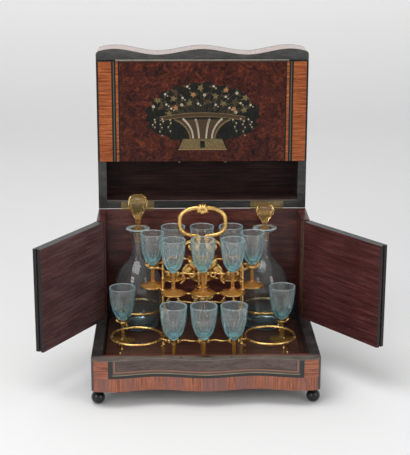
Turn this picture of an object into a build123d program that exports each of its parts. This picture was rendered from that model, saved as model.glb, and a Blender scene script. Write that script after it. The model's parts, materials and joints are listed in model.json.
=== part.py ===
from build123d import *
from math import atan2, cos, degrees, hypot, radians, sin, sqrt
import os

# Liqueur cabinet, drawn open as it is shown: lid up, front flap hanging, both doors swung out.
# Millimetres, +Z up, +Y to the back. The origin lies on the floor under the middle of the closed case.

# Base
base_underside = 26.0
base_height = 48.0
base_wall = 15.0
floor_thickness = 8.0
tray_depth = 26.0
ring_side_gap = 13.0
ring_end_gap = 3.3
lip_thickness = 8.0
lip_drop = 1.0
lip_gap = 1.2
foot_radius = 10.0
foot_flat = 0.5
foot_collar_radius = 5.5
foot_inset_x = 8.5
foot_inset_y = 15.5
dowel_radius = 3.0
dowel_length = 10.0

# Serpentine front, measured from the line of the front corners (minus is forward)
wave_middle = -7.5
wave_hollow = 1.0
wave_shoulder = -8.0
wave_corner = -3.0
hollow_from_edge = 91.0
shoulder_from_edge = 30.0
corner_radius = 6.0

# Case
case_inset = 2.0
case_height = 156.0
case_wall = 13.0
back_thickness = 10.0
return_depth = 69.0
seat_gap = 0.4
flap_setback = 10.0

# Doors and their full-height hinges
door_gap = 0.8
door_groove_width = 3.0
door_groove_depth = 2.5
left_door_angle = 30.3
right_door_angle = 36.5
door_leaf = 1.0
door_leaf_gap = 0.3
door_leaf_width = 10.0
door_barrel_radius = 1.9
door_pin_radius = 0.8
door_knuckles = 7

# Lid
lid_height = 50.0
lid_board = 6.0
lid_lining = 3.0
lid_edge_round = 3.0
lid_leaf_length = 52.0
lid_leaf_width = 9.0
case_leaf_width = 7.0
lid_leaf = 1.2
lid_leaf_x = 102.0
lid_barrel_radius = 2.2
lid_pin_radius = 0.9
lid_knuckles = 5

# Flap, its full-width hinge, lock and locating pins
flap_thickness = 10.0
flap_side_inset = 1.0
flap_barrel_radius = 1.6
flap_pin_radius = 0.7
flap_leaf = 1.0
flap_leaf_width = 9.0
flap_hinge_length = 266.0
flap_knuckles = 9
lock_width = 30.0
lock_height = 40.0
lock_depth = 6.0
bolt_width = 7.0
bolt_thickness = 2.6
bolt_length = 22.0
bolt_throw = 5.0
strike_length = 22.0
strike_width = 7.0
strike_thickness = 1.0
bolt_well_spare = 3.0
keyhole_height = 29.0
keyhole_radius = 2.0
keyhole_slot_width = 2.0
keyhole_slot = 6.5
escutcheon_wall = 1.3
escutcheon_depth = 1.5
locating_pin_x = 36.0
locating_pin_radius = 1.5
locating_pin_length = 3.0
locating_pin_depth = 9.0
locating_hole_spare = 1.0

# Clearances
hinge_gap = 0.2
pin_clearance = 0.05
slide_clearance = 0.3
mortise_clearance = 0.6
barrel_relief = 0.3
cutter_overrun = 1.0

# Carrier
board_thickness = 6.0
board_gap = 1.2
board_corner = 8.0
carrier_shift = 2.5
ring_radius = 36.8
ring_wire = 2.2
ring_clearance = 0.5
ring_level = 31.0
ring_leg_radius = 1.2
ring_leg_turns = (0, 130, 230)
holder_inner = 7.5
holder_band = 3.0
holder_thick = 3.0
holder_mouth = 10.0
weld = 1.0
decanter_x = 98.0
decanter_y = 65.0
low_glass_x = 44.0
rim_end_gap = 2.3
rim_side_gap = 9.0
high_glass_x = 44.0
high_glass_y = 36.0
high_side_x = 75.0
plate_radius = 18.5
plate_thick = 1.5
plate_level = 86.0
high_holder_level = 116.5
post_radius = 2.0
hub_radius = 11.0
column_radius = 3.0
handle_width = 76.0
handle_height = 51.0
handle_wire = 3.1
handle_centre = 184.5
handle_rod_x = 6.5
handle_rod_radius = 1.6
shell_radius = 8.0

# Glasses: the profile's turning points are shares of the foot, the stem or the bowl that they shape
foot_rim = 1.2
foot_crown = 3.0
foot_knee = 0.45
stem_radius = 3.2
stem_root = 6.6
stem_waist = 0.85
stem_flare = 1.5
foot_edge_slope = (-1, 0.12)
bowl_root_slope = (0.7, 0.7)
bowl_spread_slope = (0.8, 0.6)
bowl_rim_slope = (0.14, 1)
hollow_rim_slope = (-0.14, -1)
hollow_floor_slope = (-1, -0.05)
bowl_wall = 1.4
bowl_floor = 5.6
bowl_low_share = 0.2
bowl_low_width = 0.6
bowl_middle_share = 0.5
bowl_middle_width = 0.87
low_glass_height = 85.0
low_rim_radius = 20.0
low_bowl = 51.5
low_foot_radius = 18.0
high_glass_height = 82.5
high_rim_radius = 18.6
high_bowl = 49.0
high_foot_radius = 17.5

# Decanters and stoppers
decanter_height = 160.0
decanter_foot = 29.0
decanter_belly = 37.0
decanter_belly_height = 66.0
decanter_shoulder = 29.5
decanter_shoulder_height = 92.0
decanter_neck = 10.4
decanter_neck_height = 114.0
decanter_lip = 18.6
decanter_lip_height = 5.0
decanter_wall = 3.0
decanter_floor = 6.0
plug_length = 20.0
plug_gap = 0.6
plug_taper = 0.3
stopper_seat_width = 0.4
stopper_collar = 2.0
left_stopper_height = 53.0
left_stopper_radius = 15.2
right_stopper_height = 38.0
right_stopper_radius = 14.2
stopper_waist = 4.5
stopper_waist_share = 0.45
decanter_foot_slope = (0.25, 1)
hollow_foot_slope = (-0.25, -1)
lip_root_slope = (0.2, 1)
lip_edge_slope = (1, 0.1)
stopper_waist_slope = (-1, 0.3)

# Headings seen from above, in degrees
to_right = 0.0
to_back = 90.0
to_left = 180.0
to_front = 270.0
full_turn = 360

# Headings in a turned outline, as outward and upward parts
upward = (0, 1)
downward = (0, -1)
inward = (-1, 0)

# Places that follow from the sizes above. The tray is as large as the decanters in their rings need.
ring_reach = ring_radius + ring_wire
inner_x = decanter_x + ring_reach + ring_side_gap
tray_half = decanter_y + ring_reach + ring_end_gap
base_width = 2 * (inner_x + base_wall)
case_depth = flap_setback + seat_gap + lip_gap + lip_thickness + 2 * tray_half + back_thickness
low_glass_y = tray_half - low_rim_radius - rim_end_gap
low_side_x = inner_x - low_rim_radius - rim_side_gap
base_top = base_underside + base_height
tray_floor = base_top - tray_depth
case_top = base_top + case_height
case_width = base_width - 2 * case_inset
front_line = -case_depth / 2
back_line = case_depth / 2
flap_inner_y = front_line + flap_setback
rail_back_y = flap_inner_y + seat_gap
lip_front_y = rail_back_y + lip_gap
lip_back_y = lip_front_y + lip_thickness
back_inner_y = back_line - back_thickness
return_front_y = back_line - return_depth
door_pin_x = case_width / 2 + door_barrel_radius + hinge_gap
door_pin_y = return_front_y - door_leaf - door_leaf_gap / 2
door_height = case_height - 2 * seat_gap
door_bottom = base_top + seat_gap
door_end = door_pin_y - flap_inner_y - door_gap
door_root = door_leaf + door_leaf_gap / 2
door_face = door_barrel_radius + hinge_gap
lid_pin_y = back_line + hinge_gap
lid_pin_z = case_top + hinge_gap
lid_back_s = hinge_gap
lid_plate_edge = lid_barrel_radius + barrel_relief
flap_pin_s = lid_pin_y - flap_inner_y
flap_pin_z = lid_pin_z + flap_pin_s
flap_top = flap_pin_z - hinge_gap
flap_height = case_height - seat_gap
flap_bottom = flap_top - flap_height
flap_face_n = hinge_gap + flap_thickness
bolt_n = hinge_gap + lock_depth / 2
strike_y = flap_inner_y - bolt_n
pin_n = hinge_gap + flap_thickness / 2
carrier_x = -carrier_shift
carrier_y = (lip_back_y + back_inner_y) / 2
board_top = tray_floor + board_thickness
plate_top = board_top + plate_level + plate_thick

# The open lid stands on this plane: local x across, local y from the hinge to the front rail,
# local z towards the room. The closed lid's rim faces down; here it faces the room.
rim_plane = Plane(origin=(0, lid_pin_y, lid_pin_z), x_dir=(1, 0, 0), z_dir=(0, -1, 0))

os.makedirs("parts", exist_ok=True)


def save(builder, name):
    builder.part.label = name
    export_step(builder.part, f"parts/{name}.step")


def wave_points(width):
    """Points of the serpentine front, from the left corner to the right one, ahead of the corner line."""
    half = width / 2
    shoulder = half - shoulder_from_edge
    hollow = half - hollow_from_edge
    right = [(0, wave_middle), (hollow, wave_hollow), (shoulder, wave_shoulder), (half, wave_corner)]
    left = [(-x, y) for x, y in reversed(right[1:])]
    return left + right


def front_outline(width, rear):
    """Serpentine front closed by straight sides and a straight rear line, inside a BuildLine."""
    half = width / 2
    points = wave_points(width)
    Spline(*[(x, front_line + y) for x, y in points])
    corner = front_line + wave_corner
    Polyline((half, corner), (half, rear), (-half, rear), (-half, corner))


def knuckle_spans(length, count, first):
    """Start and end of every other knuckle along a barrel of this length, centred on zero."""
    pitch = length / count
    spans = []
    for index in range(first, count, 2):
        start = -length / 2 + index * pitch
        spans.append((start + hinge_gap / 2, start + pitch - hinge_gap / 2))
    return spans


# Base: a serpentine front rail, two side rails and a back rail round a floor board
with BuildPart() as front_rail:
    with BuildSketch(Plane.XY.offset(base_underside)):
        with BuildLine():
            front_outline(base_width, rail_back_y)
        make_face()
    extrude(amount=base_height)
    fillet(front_rail.edges().filter_by(Axis.Z).group_by(Axis.Y)[0], corner_radius)
    with BuildSketch(Plane.XY.offset(base_top)):
        with Locations((0, strike_y)):
            Rectangle(strike_length, strike_width)
    extrude(amount=-strike_thickness, mode=Mode.SUBTRACT)
    with BuildSketch(Plane.XY.offset(base_top)):
        with Locations((0, strike_y)):
            Rectangle(bolt_width + 2 * mortise_clearance, bolt_thickness + 2 * mortise_clearance)
    extrude(amount=-bolt_throw - bolt_well_spare, mode=Mode.SUBTRACT)
    with BuildSketch(Plane.XY.offset(base_top)):
        with Locations((-locating_pin_x, flap_inner_y - pin_n), (locating_pin_x, flap_inner_y - pin_n)):
            Circle(locating_pin_radius + slide_clearance)
    extrude(amount=-locating_pin_length - locating_hole_spare, mode=Mode.SUBTRACT)
save(front_rail, "base_front_rail")

foot_x = base_width / 2 - foot_inset_x
foot_spots = [(side * foot_x, end) for side in (-1, 1)
              for end in (front_line + foot_inset_y, back_line - foot_inset_y)]

for side, name in ((-1, "base_left_rail"), (1, "base_right_rail")):
    with BuildPart() as side_rail:
        with BuildSketch(Plane.XY.offset(base_underside)):
            with Locations((side * (inner_x + base_wall / 2), (rail_back_y + back_line) / 2)):
                Rectangle(base_wall, back_line - rail_back_y)
        extrude(amount=base_height)
        with BuildSketch(Plane.XY.offset(base_underside)):
            with Locations(*[spot for spot in foot_spots if spot[0] * side > 0]):
                Circle(dowel_radius)
        extrude(amount=dowel_length, mode=Mode.SUBTRACT)
    save(side_rail, name)

with BuildPart() as back_rail:
    with BuildSketch(Plane.XY.offset(base_underside)):
        with Locations((0, back_line - back_thickness / 2)):
            Rectangle(2 * inner_x, back_thickness)
    extrude(amount=base_height)
save(back_rail, "base_back_rail")

with BuildPart() as floor_board:
    with BuildSketch(Plane.XY.offset(tray_floor - floor_thickness)):
        with Locations((0, (rail_back_y + back_inner_y) / 2)):
            Rectangle(2 * inner_x, back_inner_y - rail_back_y)
    extrude(amount=floor_thickness)
save(floor_board, "base_floor_board")

with BuildPart() as lip_strip:
    with BuildSketch(Plane.XY.offset(tray_floor)):
        with Locations((0, lip_front_y + lip_thickness / 2)):
            Rectangle(2 * inner_x, lip_thickness)
    extrude(amount=tray_depth - lip_drop)
    fillet(lip_strip.edges().filter_by(Axis.X).group_by(Axis.Z)[-1], lip_drop)
save(lip_strip, "tray_lip_strip")

with BuildPart() as feet:
    foot_centre = foot_radius - foot_flat
    with BuildSketch(Plane.XZ):
        with BuildLine():
            flat = sqrt(foot_radius**2 - foot_centre**2)
            collar = foot_centre + sqrt(foot_radius**2 - foot_collar_radius**2)
            Polyline((0, 0), (flat, 0))
            ThreePointArc((flat, 0), (foot_radius, foot_centre), (foot_collar_radius, collar))
            Polyline((foot_collar_radius, collar), (foot_collar_radius, base_underside),
                     (dowel_radius, base_underside), (dowel_radius, base_underside + dowel_length),
                     (0, base_underside + dowel_length), (0, 0))
        make_face()
    foot_turning = revolve(axis=Axis.Z, mode=Mode.PRIVATE)
    with Locations(*foot_spots):
        add(foot_turning)
save(feet, "ball_feet")

with BuildPart() as strike:
    with BuildSketch(Plane.XY.offset(base_top)):
        with Locations((0, strike_y)):
            Rectangle(strike_length, strike_width)
            Rectangle(bolt_width + 2 * slide_clearance, bolt_thickness + 2 * slide_clearance,
                      mode=Mode.SUBTRACT)
    extrude(amount=-strike_thickness)
save(strike, "strike_plate")

def barrel_trough(axis_y, axis_z, centre_x, length, radius):
    """Round trough along X for a hinge's barrel, cut from the part that is being built."""
    with BuildSketch(Plane.YZ.offset(centre_x - length / 2 - slide_clearance)) as trough:
        with Locations((axis_y, axis_z)):
            Circle(radius + barrel_relief)
    extrude(trough.sketch, amount=length + 2 * slide_clearance, mode=Mode.SUBTRACT)


# Case: the back panel between two short returns that carry the doors
case_leaf_y = lid_pin_y - lid_plate_edge - case_leaf_width

with BuildPart() as back_panel:
    with BuildSketch(Plane.XY.offset(base_top)):
        with Locations((0, back_line - back_thickness / 2)):
            Rectangle(2 * (case_width / 2 - case_wall), back_thickness)
    extrude(amount=case_height)
    with BuildSketch(Plane.XY.offset(case_top)):
        with Locations(*[(side * lid_leaf_x, (case_leaf_y + back_line) / 2) for side in (-1, 1)]):
            Rectangle(lid_leaf_length, back_line - case_leaf_y)
    extrude(amount=-lid_leaf, mode=Mode.SUBTRACT)
    for side in (-1, 1):
        barrel_trough(lid_pin_y, lid_pin_z, side * lid_leaf_x, lid_leaf_length, lid_barrel_radius)
save(back_panel, "back_panel")

for side, name in ((-1, "left_return"), (1, "right_return")):
    with BuildPart() as side_return:
        with BuildSketch(Plane.XY.offset(base_top)):
            with Locations((side * (case_width / 2 - case_wall / 2), back_line - return_depth / 2)):
                Rectangle(case_wall, return_depth)
        extrude(amount=case_height)
    save(side_return, name)


def door_plane(side, angle, height):
    """Plane at a door's pin: local x from the pin to the free edge, local y across its thickness."""
    along = (side * sin(radians(angle)), -cos(radians(angle)), 0)
    return Plane(origin=(side * door_pin_x, door_pin_y, height), x_dir=along, z_dir=(0, 0, 1))


def door_hinge_leaf(side, angle, first, with_pin):
    """One leaf of the full-height hinge: a plate beside the pin and every other knuckle of its barrel."""
    length = door_height - 2 * door_leaf
    middle = door_bottom + door_height / 2
    facing = 1 if with_pin else -1
    plate_x = facing * (door_leaf_gap + door_leaf) / 2
    with BuildPart() as leaf:
        with BuildSketch(door_plane(side, angle, middle - length / 2)):
            with Locations((plate_x, -side * (door_face + door_leaf_width / 2))):
                Rectangle(door_leaf, door_leaf_width)
        extrude(amount=length)
        for start, end in knuckle_spans(length, door_knuckles, first):
            with BuildSketch(door_plane(side, angle, middle + start)):
                Circle(door_barrel_radius)
                with Locations((plate_x, -side * door_face / 2)):
                    Rectangle(door_leaf, door_face)
            extrude(amount=end - start)
        if with_pin:
            with BuildSketch(door_plane(side, angle, middle - length / 2)):
                Circle(door_pin_radius)
            extrude(amount=length)
        else:
            with BuildSketch(door_plane(side, angle, middle - length / 2)):
                Circle(door_pin_radius + pin_clearance)
            extrude(amount=length, mode=Mode.SUBTRACT)
    return leaf


for side, angle, hand in ((-1, left_door_angle, "left"), (1, right_door_angle, "right")):
    with BuildPart() as door:
        with BuildSketch(door_plane(side, angle, door_bottom)):
            with Locations(((door_root + door_end) / 2, -side * (door_face + case_wall / 2))):
                Rectangle(door_end - door_root, case_wall)
            with Locations((door_end - door_groove_depth / 2, -side * (door_face + case_wall / 2))):
                Rectangle(door_groove_depth, door_groove_width, mode=Mode.SUBTRACT)
        extrude(amount=door_height)
    save(door, f"{hand}_door_panel")
    save(door_hinge_leaf(side, angle, 1, True), f"{hand}_door_hinge_leaf_and_pin")
    save(door_hinge_leaf(side, 0, 0, False), f"{hand}_return_hinge_leaf")

# Lid: four rails round a recess, a board over them and a lining inside it
rail_depth = lid_height - lid_board
rim_n = -hinge_gap
lid_inner_s = lid_back_s + case_wall
front_inner_s = flap_pin_s + hinge_gap


def lid_outline(width):
    """The lid's plan on the rim plane: serpentine front, straight sides and back, inside a BuildLine."""
    half = width / 2
    reach = lid_pin_y - front_line
    points = wave_points(width)
    Spline(*[(x, reach - y) for x, y in points])
    corner = reach - wave_corner
    Polyline((half, corner), (half, lid_back_s), (-half, lid_back_s), (-half, corner))


with BuildPart() as lid_top:
    with BuildSketch(rim_plane.offset(rim_n - rail_depth)):
        with BuildLine():
            lid_outline(case_width)
        make_face()
    extrude(amount=-lid_board)
    fillet(lid_top.edges().filter_by(Axis.Y).group_by(Axis.Z)[-1], corner_radius)
    fillet(lid_top.faces().sort_by(Axis.Y)[-1].edges(), lid_edge_round)
save(lid_top, "lid_top_board")

with BuildPart() as lid_front:
    with BuildSketch(rim_plane.offset(rim_n)):
        with BuildLine():
            lid_outline(case_width)
        make_face()
        with Locations((0, (lid_back_s + front_inner_s) / 2 - cutter_overrun)):
            Rectangle(case_width + 2 * cutter_overrun, front_inner_s - lid_back_s + 2 * cutter_overrun,
                      mode=Mode.SUBTRACT)
    extrude(amount=-rail_depth)
    fillet(lid_front.edges().filter_by(Axis.Y).group_by(Axis.Z)[-1], corner_radius)
    barrel_trough(lid_pin_y, flap_pin_z, 0, flap_hinge_length, flap_barrel_radius)
    with BuildSketch(rim_plane.offset(rim_n)):
        with Locations((0, front_inner_s + flap_leaf / 2)):
            Rectangle(flap_hinge_length, flap_leaf)
    extrude(amount=rim_n - flap_barrel_radius - flap_leaf_width, mode=Mode.SUBTRACT)
save(lid_front, "lid_front_rail")

for side, name in ((-1, "lid_left_rail"), (1, "lid_right_rail")):
    with BuildPart() as lid_side:
        with BuildSketch(rim_plane.offset(rim_n)):
            with Locations((side * (case_width / 2 - case_wall / 2), (lid_back_s + front_inner_s) / 2)):
                Rectangle(case_wall, front_inner_s - lid_back_s)
        extrude(amount=-rail_depth)
    save(lid_side, name)

with BuildPart() as lid_rear:
    with BuildSketch(rim_plane.offset(rim_n)):
        with Locations((0, lid_back_s + case_wall / 2)):
            Rectangle(case_width - 2 * case_wall, case_wall)
    extrude(amount=-rail_depth)
    lid_leaf_s = lid_plate_edge + lid_leaf_width
    with BuildSketch(rim_plane.offset(rim_n)):
        with Locations(*[(side * lid_leaf_x, (lid_back_s + lid_leaf_s) / 2) for side in (-1, 1)]):
            Rectangle(lid_leaf_length, lid_leaf_s - lid_back_s)
    extrude(amount=-lid_leaf, mode=Mode.SUBTRACT)
    for side in (-1, 1):
        barrel_trough(lid_pin_y, lid_pin_z, side * lid_leaf_x, lid_leaf_length, lid_barrel_radius)
save(lid_rear, "lid_back_rail")

with BuildPart() as lining:
    with BuildSketch(rim_plane.offset(rim_n - rail_depth)):
        with Locations((0, (lid_inner_s + front_inner_s) / 2)):
            Rectangle(case_width - 2 * case_wall, front_inner_s - lid_inner_s)
    extrude(amount=lid_lining)
save(lining, "lid_lining_panel")


def barrel(axis_y, axis_z, centre_x, spans, radius, web_centre, web_size):
    """Knuckles of a hinge along X, each with the web that joins it to its plate."""
    for start, end in spans:
        with BuildSketch(Plane.YZ.offset(centre_x + start)) as knuckle:
            with Locations((axis_y, axis_z)):
                Circle(radius)
            with Locations(web_centre):
                Rectangle(*web_size)
        extrude(knuckle.sketch, amount=end - start)


def pin_bore(axis_y, axis_z, centre_x, length, radius, mode):
    """A pin, or the hole for one, along X."""
    with BuildSketch(Plane.YZ.offset(centre_x - length / 2)) as bore:
        with Locations((axis_y, axis_z)):
            Circle(radius)
    extrude(bore.sketch, amount=length, mode=mode)


with BuildPart() as case_leaves:
    for side in (-1, 1):
        with BuildSketch(Plane.XY.offset(case_top)):
            with Locations((side * lid_leaf_x, case_leaf_y + case_leaf_width / 2)):
                Rectangle(lid_leaf_length, case_leaf_width)
        extrude(amount=-lid_leaf)
        barrel(lid_pin_y, lid_pin_z, side * lid_leaf_x, knuckle_spans(lid_leaf_length, lid_knuckles, 0),
               lid_barrel_radius, (lid_pin_y - lid_plate_edge / 2, case_top - lid_leaf / 2),
               (lid_plate_edge, lid_leaf))
        pin_bore(lid_pin_y, lid_pin_z, side * lid_leaf_x, lid_leaf_length, lid_pin_radius, Mode.ADD)
save(case_leaves, "lid_hinge_case_leaves_and_pins")

with BuildPart() as lid_leaves:
    for side in (-1, 1):
        with BuildSketch(rim_plane.offset(rim_n)):
            with Locations((side * lid_leaf_x, lid_plate_edge + lid_leaf_width / 2)):
                Rectangle(lid_leaf_length, lid_leaf_width)
        extrude(amount=-lid_leaf)
        barrel(lid_pin_y, lid_pin_z, side * lid_leaf_x, knuckle_spans(lid_leaf_length, lid_knuckles, 1),
               lid_barrel_radius, (lid_pin_y - rim_n + lid_leaf / 2, lid_pin_z + lid_plate_edge / 2),
               (lid_leaf, lid_plate_edge))
        pin_bore(lid_pin_y, lid_pin_z, side * lid_leaf_x, lid_leaf_length + cutter_overrun,
                 lid_pin_radius + pin_clearance, Mode.SUBTRACT)
save(lid_leaves, "lid_hinge_lid_leaves")

# Flap: a flat panel hung from the lid's front rail
plate_edge = flap_barrel_radius + barrel_relief

with BuildPart() as flap_lid_leaf:
    with BuildSketch(rim_plane.offset(-plate_edge)):
        with Locations((0, front_inner_s + flap_leaf / 2)):
            Rectangle(flap_hinge_length, flap_leaf)
    extrude(amount=plate_edge - flap_barrel_radius - flap_leaf_width)
    barrel(lid_pin_y, flap_pin_z, 0, knuckle_spans(flap_hinge_length, flap_knuckles, 0), flap_barrel_radius,
           (lid_pin_y + plate_edge / 2, flap_pin_z + hinge_gap + flap_leaf / 2), (plate_edge, flap_leaf))
    pin_bore(lid_pin_y, flap_pin_z, 0, flap_hinge_length, flap_pin_radius, Mode.ADD)
save(flap_lid_leaf, "flap_hinge_lid_leaf_and_pin")

with BuildPart() as flap_leaf_part:
    with BuildSketch(rim_plane.offset(hinge_gap)):
        with Locations((0, flap_pin_s - plate_edge - flap_leaf_width / 2)):
            Rectangle(flap_hinge_length, flap_leaf_width)
    extrude(amount=flap_leaf)
    barrel(lid_pin_y, flap_pin_z, 0, knuckle_spans(flap_hinge_length, flap_knuckles, 1), flap_barrel_radius,
           (lid_pin_y - hinge_gap - flap_leaf / 2, flap_pin_z - plate_edge / 2), (flap_leaf, plate_edge))
    pin_bore(lid_pin_y, flap_pin_z, 0, flap_hinge_length + cutter_overrun,
             flap_pin_radius + pin_clearance, Mode.SUBTRACT)
save(flap_leaf_part, "flap_hinge_flap_leaf")

flap_width = case_width - 2 * flap_side_inset
flap_bottom_s = flap_pin_s - hinge_gap - flap_height
keyhole_s = flap_bottom_s + keyhole_height


def keyhole(grow, mode=Mode.ADD):
    """Keyhole outline: a round eye over a slot, inside a BuildSketch."""
    with Locations((0, keyhole_s)):
        Circle(keyhole_radius + grow, mode=mode)
    with Locations((0, keyhole_s - keyhole_slot / 2)):
        Rectangle(keyhole_slot_width + 2 * grow, keyhole_slot + 2 * grow, mode=mode)


with BuildPart() as flap:
    with BuildSketch(rim_plane.offset(hinge_gap)):
        with Locations((0, flap_bottom_s + flap_height / 2)):
            Rectangle(flap_width, flap_height)
    extrude(amount=flap_thickness)
    barrel_trough(lid_pin_y, flap_pin_z, 0, flap_hinge_length, flap_barrel_radius)
    with BuildSketch(rim_plane.offset(hinge_gap)):
        with Locations((0, flap_pin_s - (plate_edge + flap_leaf_width) / 2)):
            Rectangle(flap_hinge_length, plate_edge + flap_leaf_width)
    extrude(amount=flap_leaf, mode=Mode.SUBTRACT)
    with BuildSketch(rim_plane.offset(hinge_gap)):
        with Locations((0, flap_bottom_s + lock_height / 2)):
            Rectangle(lock_width, lock_height)
    extrude(amount=lock_depth, mode=Mode.SUBTRACT)
    with BuildSketch(rim_plane.offset(hinge_gap)):
        keyhole(0)
    extrude(amount=flap_thickness, mode=Mode.SUBTRACT)
    with BuildSketch(rim_plane.offset(flap_face_n)):
        keyhole(escutcheon_wall)
    extrude(amount=-escutcheon_depth, mode=Mode.SUBTRACT)
    with BuildSketch(Plane.XY.offset(flap_bottom)):
        with Locations((-locating_pin_x, lid_pin_y - pin_n), (locating_pin_x, lid_pin_y - pin_n)):
            Circle(locating_pin_radius)
    extrude(amount=locating_pin_depth, mode=Mode.SUBTRACT)
save(flap, "flap_panel")

with BuildPart() as flap_pins:
    with BuildSketch(Plane.XY.offset(flap_bottom - locating_pin_length)):
        with Locations((-locating_pin_x, lid_pin_y - pin_n), (locating_pin_x, lid_pin_y - pin_n)):
            Circle(locating_pin_radius)
    extrude(amount=locating_pin_length + locating_pin_depth)
save(flap_pins, "flap_locating_pins")

with BuildPart() as escutcheon:
    with BuildSketch(rim_plane.offset(flap_face_n)):
        keyhole(escutcheon_wall)
        keyhole(0, Mode.SUBTRACT)
    extrude(amount=-escutcheon_depth)
save(escutcheon, "keyhole_escutcheon")

with BuildPart() as lock_case:
    with BuildSketch(rim_plane.offset(hinge_gap)):
        with Locations((0, flap_bottom_s + lock_height / 2)):
            Rectangle(lock_width, lock_height)
    extrude(amount=lock_depth)
    with BuildSketch(Plane.XY.offset(flap_bottom)):
        with Locations((0, lid_pin_y - bolt_n)):
            Rectangle(bolt_width + 2 * slide_clearance, bolt_thickness + 2 * slide_clearance)
    extrude(amount=bolt_length + 2 * slide_clearance, mode=Mode.SUBTRACT)
    with BuildSketch(rim_plane.offset(hinge_gap + lock_depth)):
        keyhole(0)
    extrude(amount=-lock_depth / 2, mode=Mode.SUBTRACT)
save(lock_case, "lock_case")

with BuildPart() as bolt:
    with BuildSketch(Plane.XY.offset(flap_bottom + slide_clearance)):
        with Locations((0, lid_pin_y - bolt_n)):
            Rectangle(bolt_width, bolt_thickness)
    extrude(amount=bolt_length)
save(bolt, "lock_bolt")

# Carrier: a board that lifts out with its gilt rings, holders, plates and handle
with BuildPart() as board:
    with BuildSketch(Plane.XY.offset(tray_floor)):
        with Locations((carrier_x, carrier_y)):
            RectangleRounded(2 * (inner_x - carrier_shift - board_gap), 2 * (tray_half - board_gap),
                             board_corner)
    extrude(amount=board_thickness)
    chamfer(board.faces().sort_by(Axis.Z)[-1].edges(), board_gap)
save(board, "carrier_board")

ring_z = board_top + ring_level
ring_corners = [
    ("front_left", -1, -1), ("front_right", 1, -1), ("rear_left", -1, 1), ("rear_right", 1, 1),
]
for name, side, end in ring_corners:
    with BuildPart() as ring:
        centre = (carrier_x + side * decanter_x, carrier_y + end * decanter_y, ring_z)
        with Locations(centre):
            Torus(ring_radius, ring_wire)
        with BuildSketch(Plane.XY.offset(board_top)):
            for turn in ring_leg_turns:
                heading = turn if side < 0 else to_left - turn
                with Locations((centre[0] + ring_radius * cos(radians(heading)),
                                centre[1] + ring_radius * sin(radians(heading)))):
                    Circle(ring_leg_radius)
        extrude(amount=ring_level)
    save(ring, f"decanter_ring_{name}")


def holder(x, y, opening):
    """An open ring round a glass's stem, its mouth turned to a heading, inside a BuildSketch."""
    with Locations((x, y)):
        Circle(holder_inner + holder_band)
    with Locations((x, y)):
        Circle(holder_inner, mode=Mode.SUBTRACT)
    reach = holder_inner + holder_band + cutter_overrun
    mouth_x = x + reach / 2 * cos(radians(opening))
    mouth_y = y + reach / 2 * sin(radians(opening))
    with Locations(Location((mouth_x, mouth_y, 0), (0, 0, opening))):
        Rectangle(reach, holder_mouth, mode=Mode.SUBTRACT)


def link(start, end, start_gap, end_gap):
    """A straight bar between two points, held back from each end, inside a BuildSketch."""
    length = hypot(end[0] - start[0], end[1] - start[1])
    heading = degrees(atan2(end[1] - start[1], end[0] - start[0]))
    middle = (start_gap + length - end_gap) / 2
    middle_x = start[0] + middle * cos(radians(heading))
    middle_y = start[1] + middle * sin(radians(heading))
    with Locations(Location((middle_x, middle_y, 0), (0, 0, heading))):
        Rectangle(length - start_gap - end_gap, holder_band)


holder_reach = holder_inner + holder_band / 2
with BuildPart() as low_holders:
    with BuildSketch(Plane.XY.offset(ring_z - holder_thick / 2)):
        for end, opening in ((-1, to_front), (1, to_back)):
            y = carrier_y + end * low_glass_y
            ring_y = carrier_y + end * decanter_y
            for x in (-low_glass_x, 0, low_glass_x):
                holder(carrier_x + x, y, opening)
            for side in (-1, 1):
                x = carrier_x + side * low_glass_x
                link((x, y), (carrier_x, y), holder_reach, holder_reach)
                link((x, y), (carrier_x + side * decanter_x, ring_y), holder_reach, ring_radius)
        for side, opening in ((-1, to_left), (1, to_right)):
            x = carrier_x + side * low_side_x
            ring_x = carrier_x + side * decanter_x
            holder(x, carrier_y, opening)
            for end in (-1, 1):
                link((x, carrier_y), (ring_x, carrier_y + end * decanter_y), holder_reach, ring_radius)
    extrude(amount=holder_thick)
    with Locations(*[(carrier_x + side * decanter_x, carrier_y + end * decanter_y, ring_z)
                     for _, side, end in ring_corners]):
        Torus(ring_radius, ring_wire, mode=Mode.SUBTRACT)
save(low_holders, "lower_glass_holders")

high_spots = [
    ("front_left", -high_glass_x, -high_glass_y, to_front), ("front_middle", 0, -high_glass_y, to_front),
    ("front_right", high_glass_x, -high_glass_y, to_front), ("side_left", -high_side_x, 0, to_left),
    ("side_right", high_side_x, 0, to_right), ("rear_left", -high_glass_x, high_glass_y, to_back),
    ("rear_middle", 0, high_glass_y, to_back), ("rear_right", high_glass_x, high_glass_y, to_back),
]
post_spots = [(carrier_x + side * (high_glass_x + high_side_x) / 2, carrier_y + end * high_glass_y / 2)
              for side in (-1, 1) for end in (-1, 1)]
rod_spots = [(carrier_x - handle_rod_x, carrier_y), (carrier_x + handle_rod_x, carrier_y)]


def tier_links(start_gap):
    """Bars between neighbours on the upper tier, from hub to rows and along them, inside a BuildSketch."""
    for end in (-1, 1):
        y = carrier_y + end * high_glass_y
        link((carrier_x, y), (carrier_x, carrier_y), start_gap, hub_radius - weld)
        for side in (-1, 1):
            x = carrier_x + side * high_glass_x
            link((x, y), (carrier_x, y), start_gap, start_gap)
            link((x, y), (carrier_x + side * high_side_x, carrier_y), start_gap, start_gap)


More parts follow.
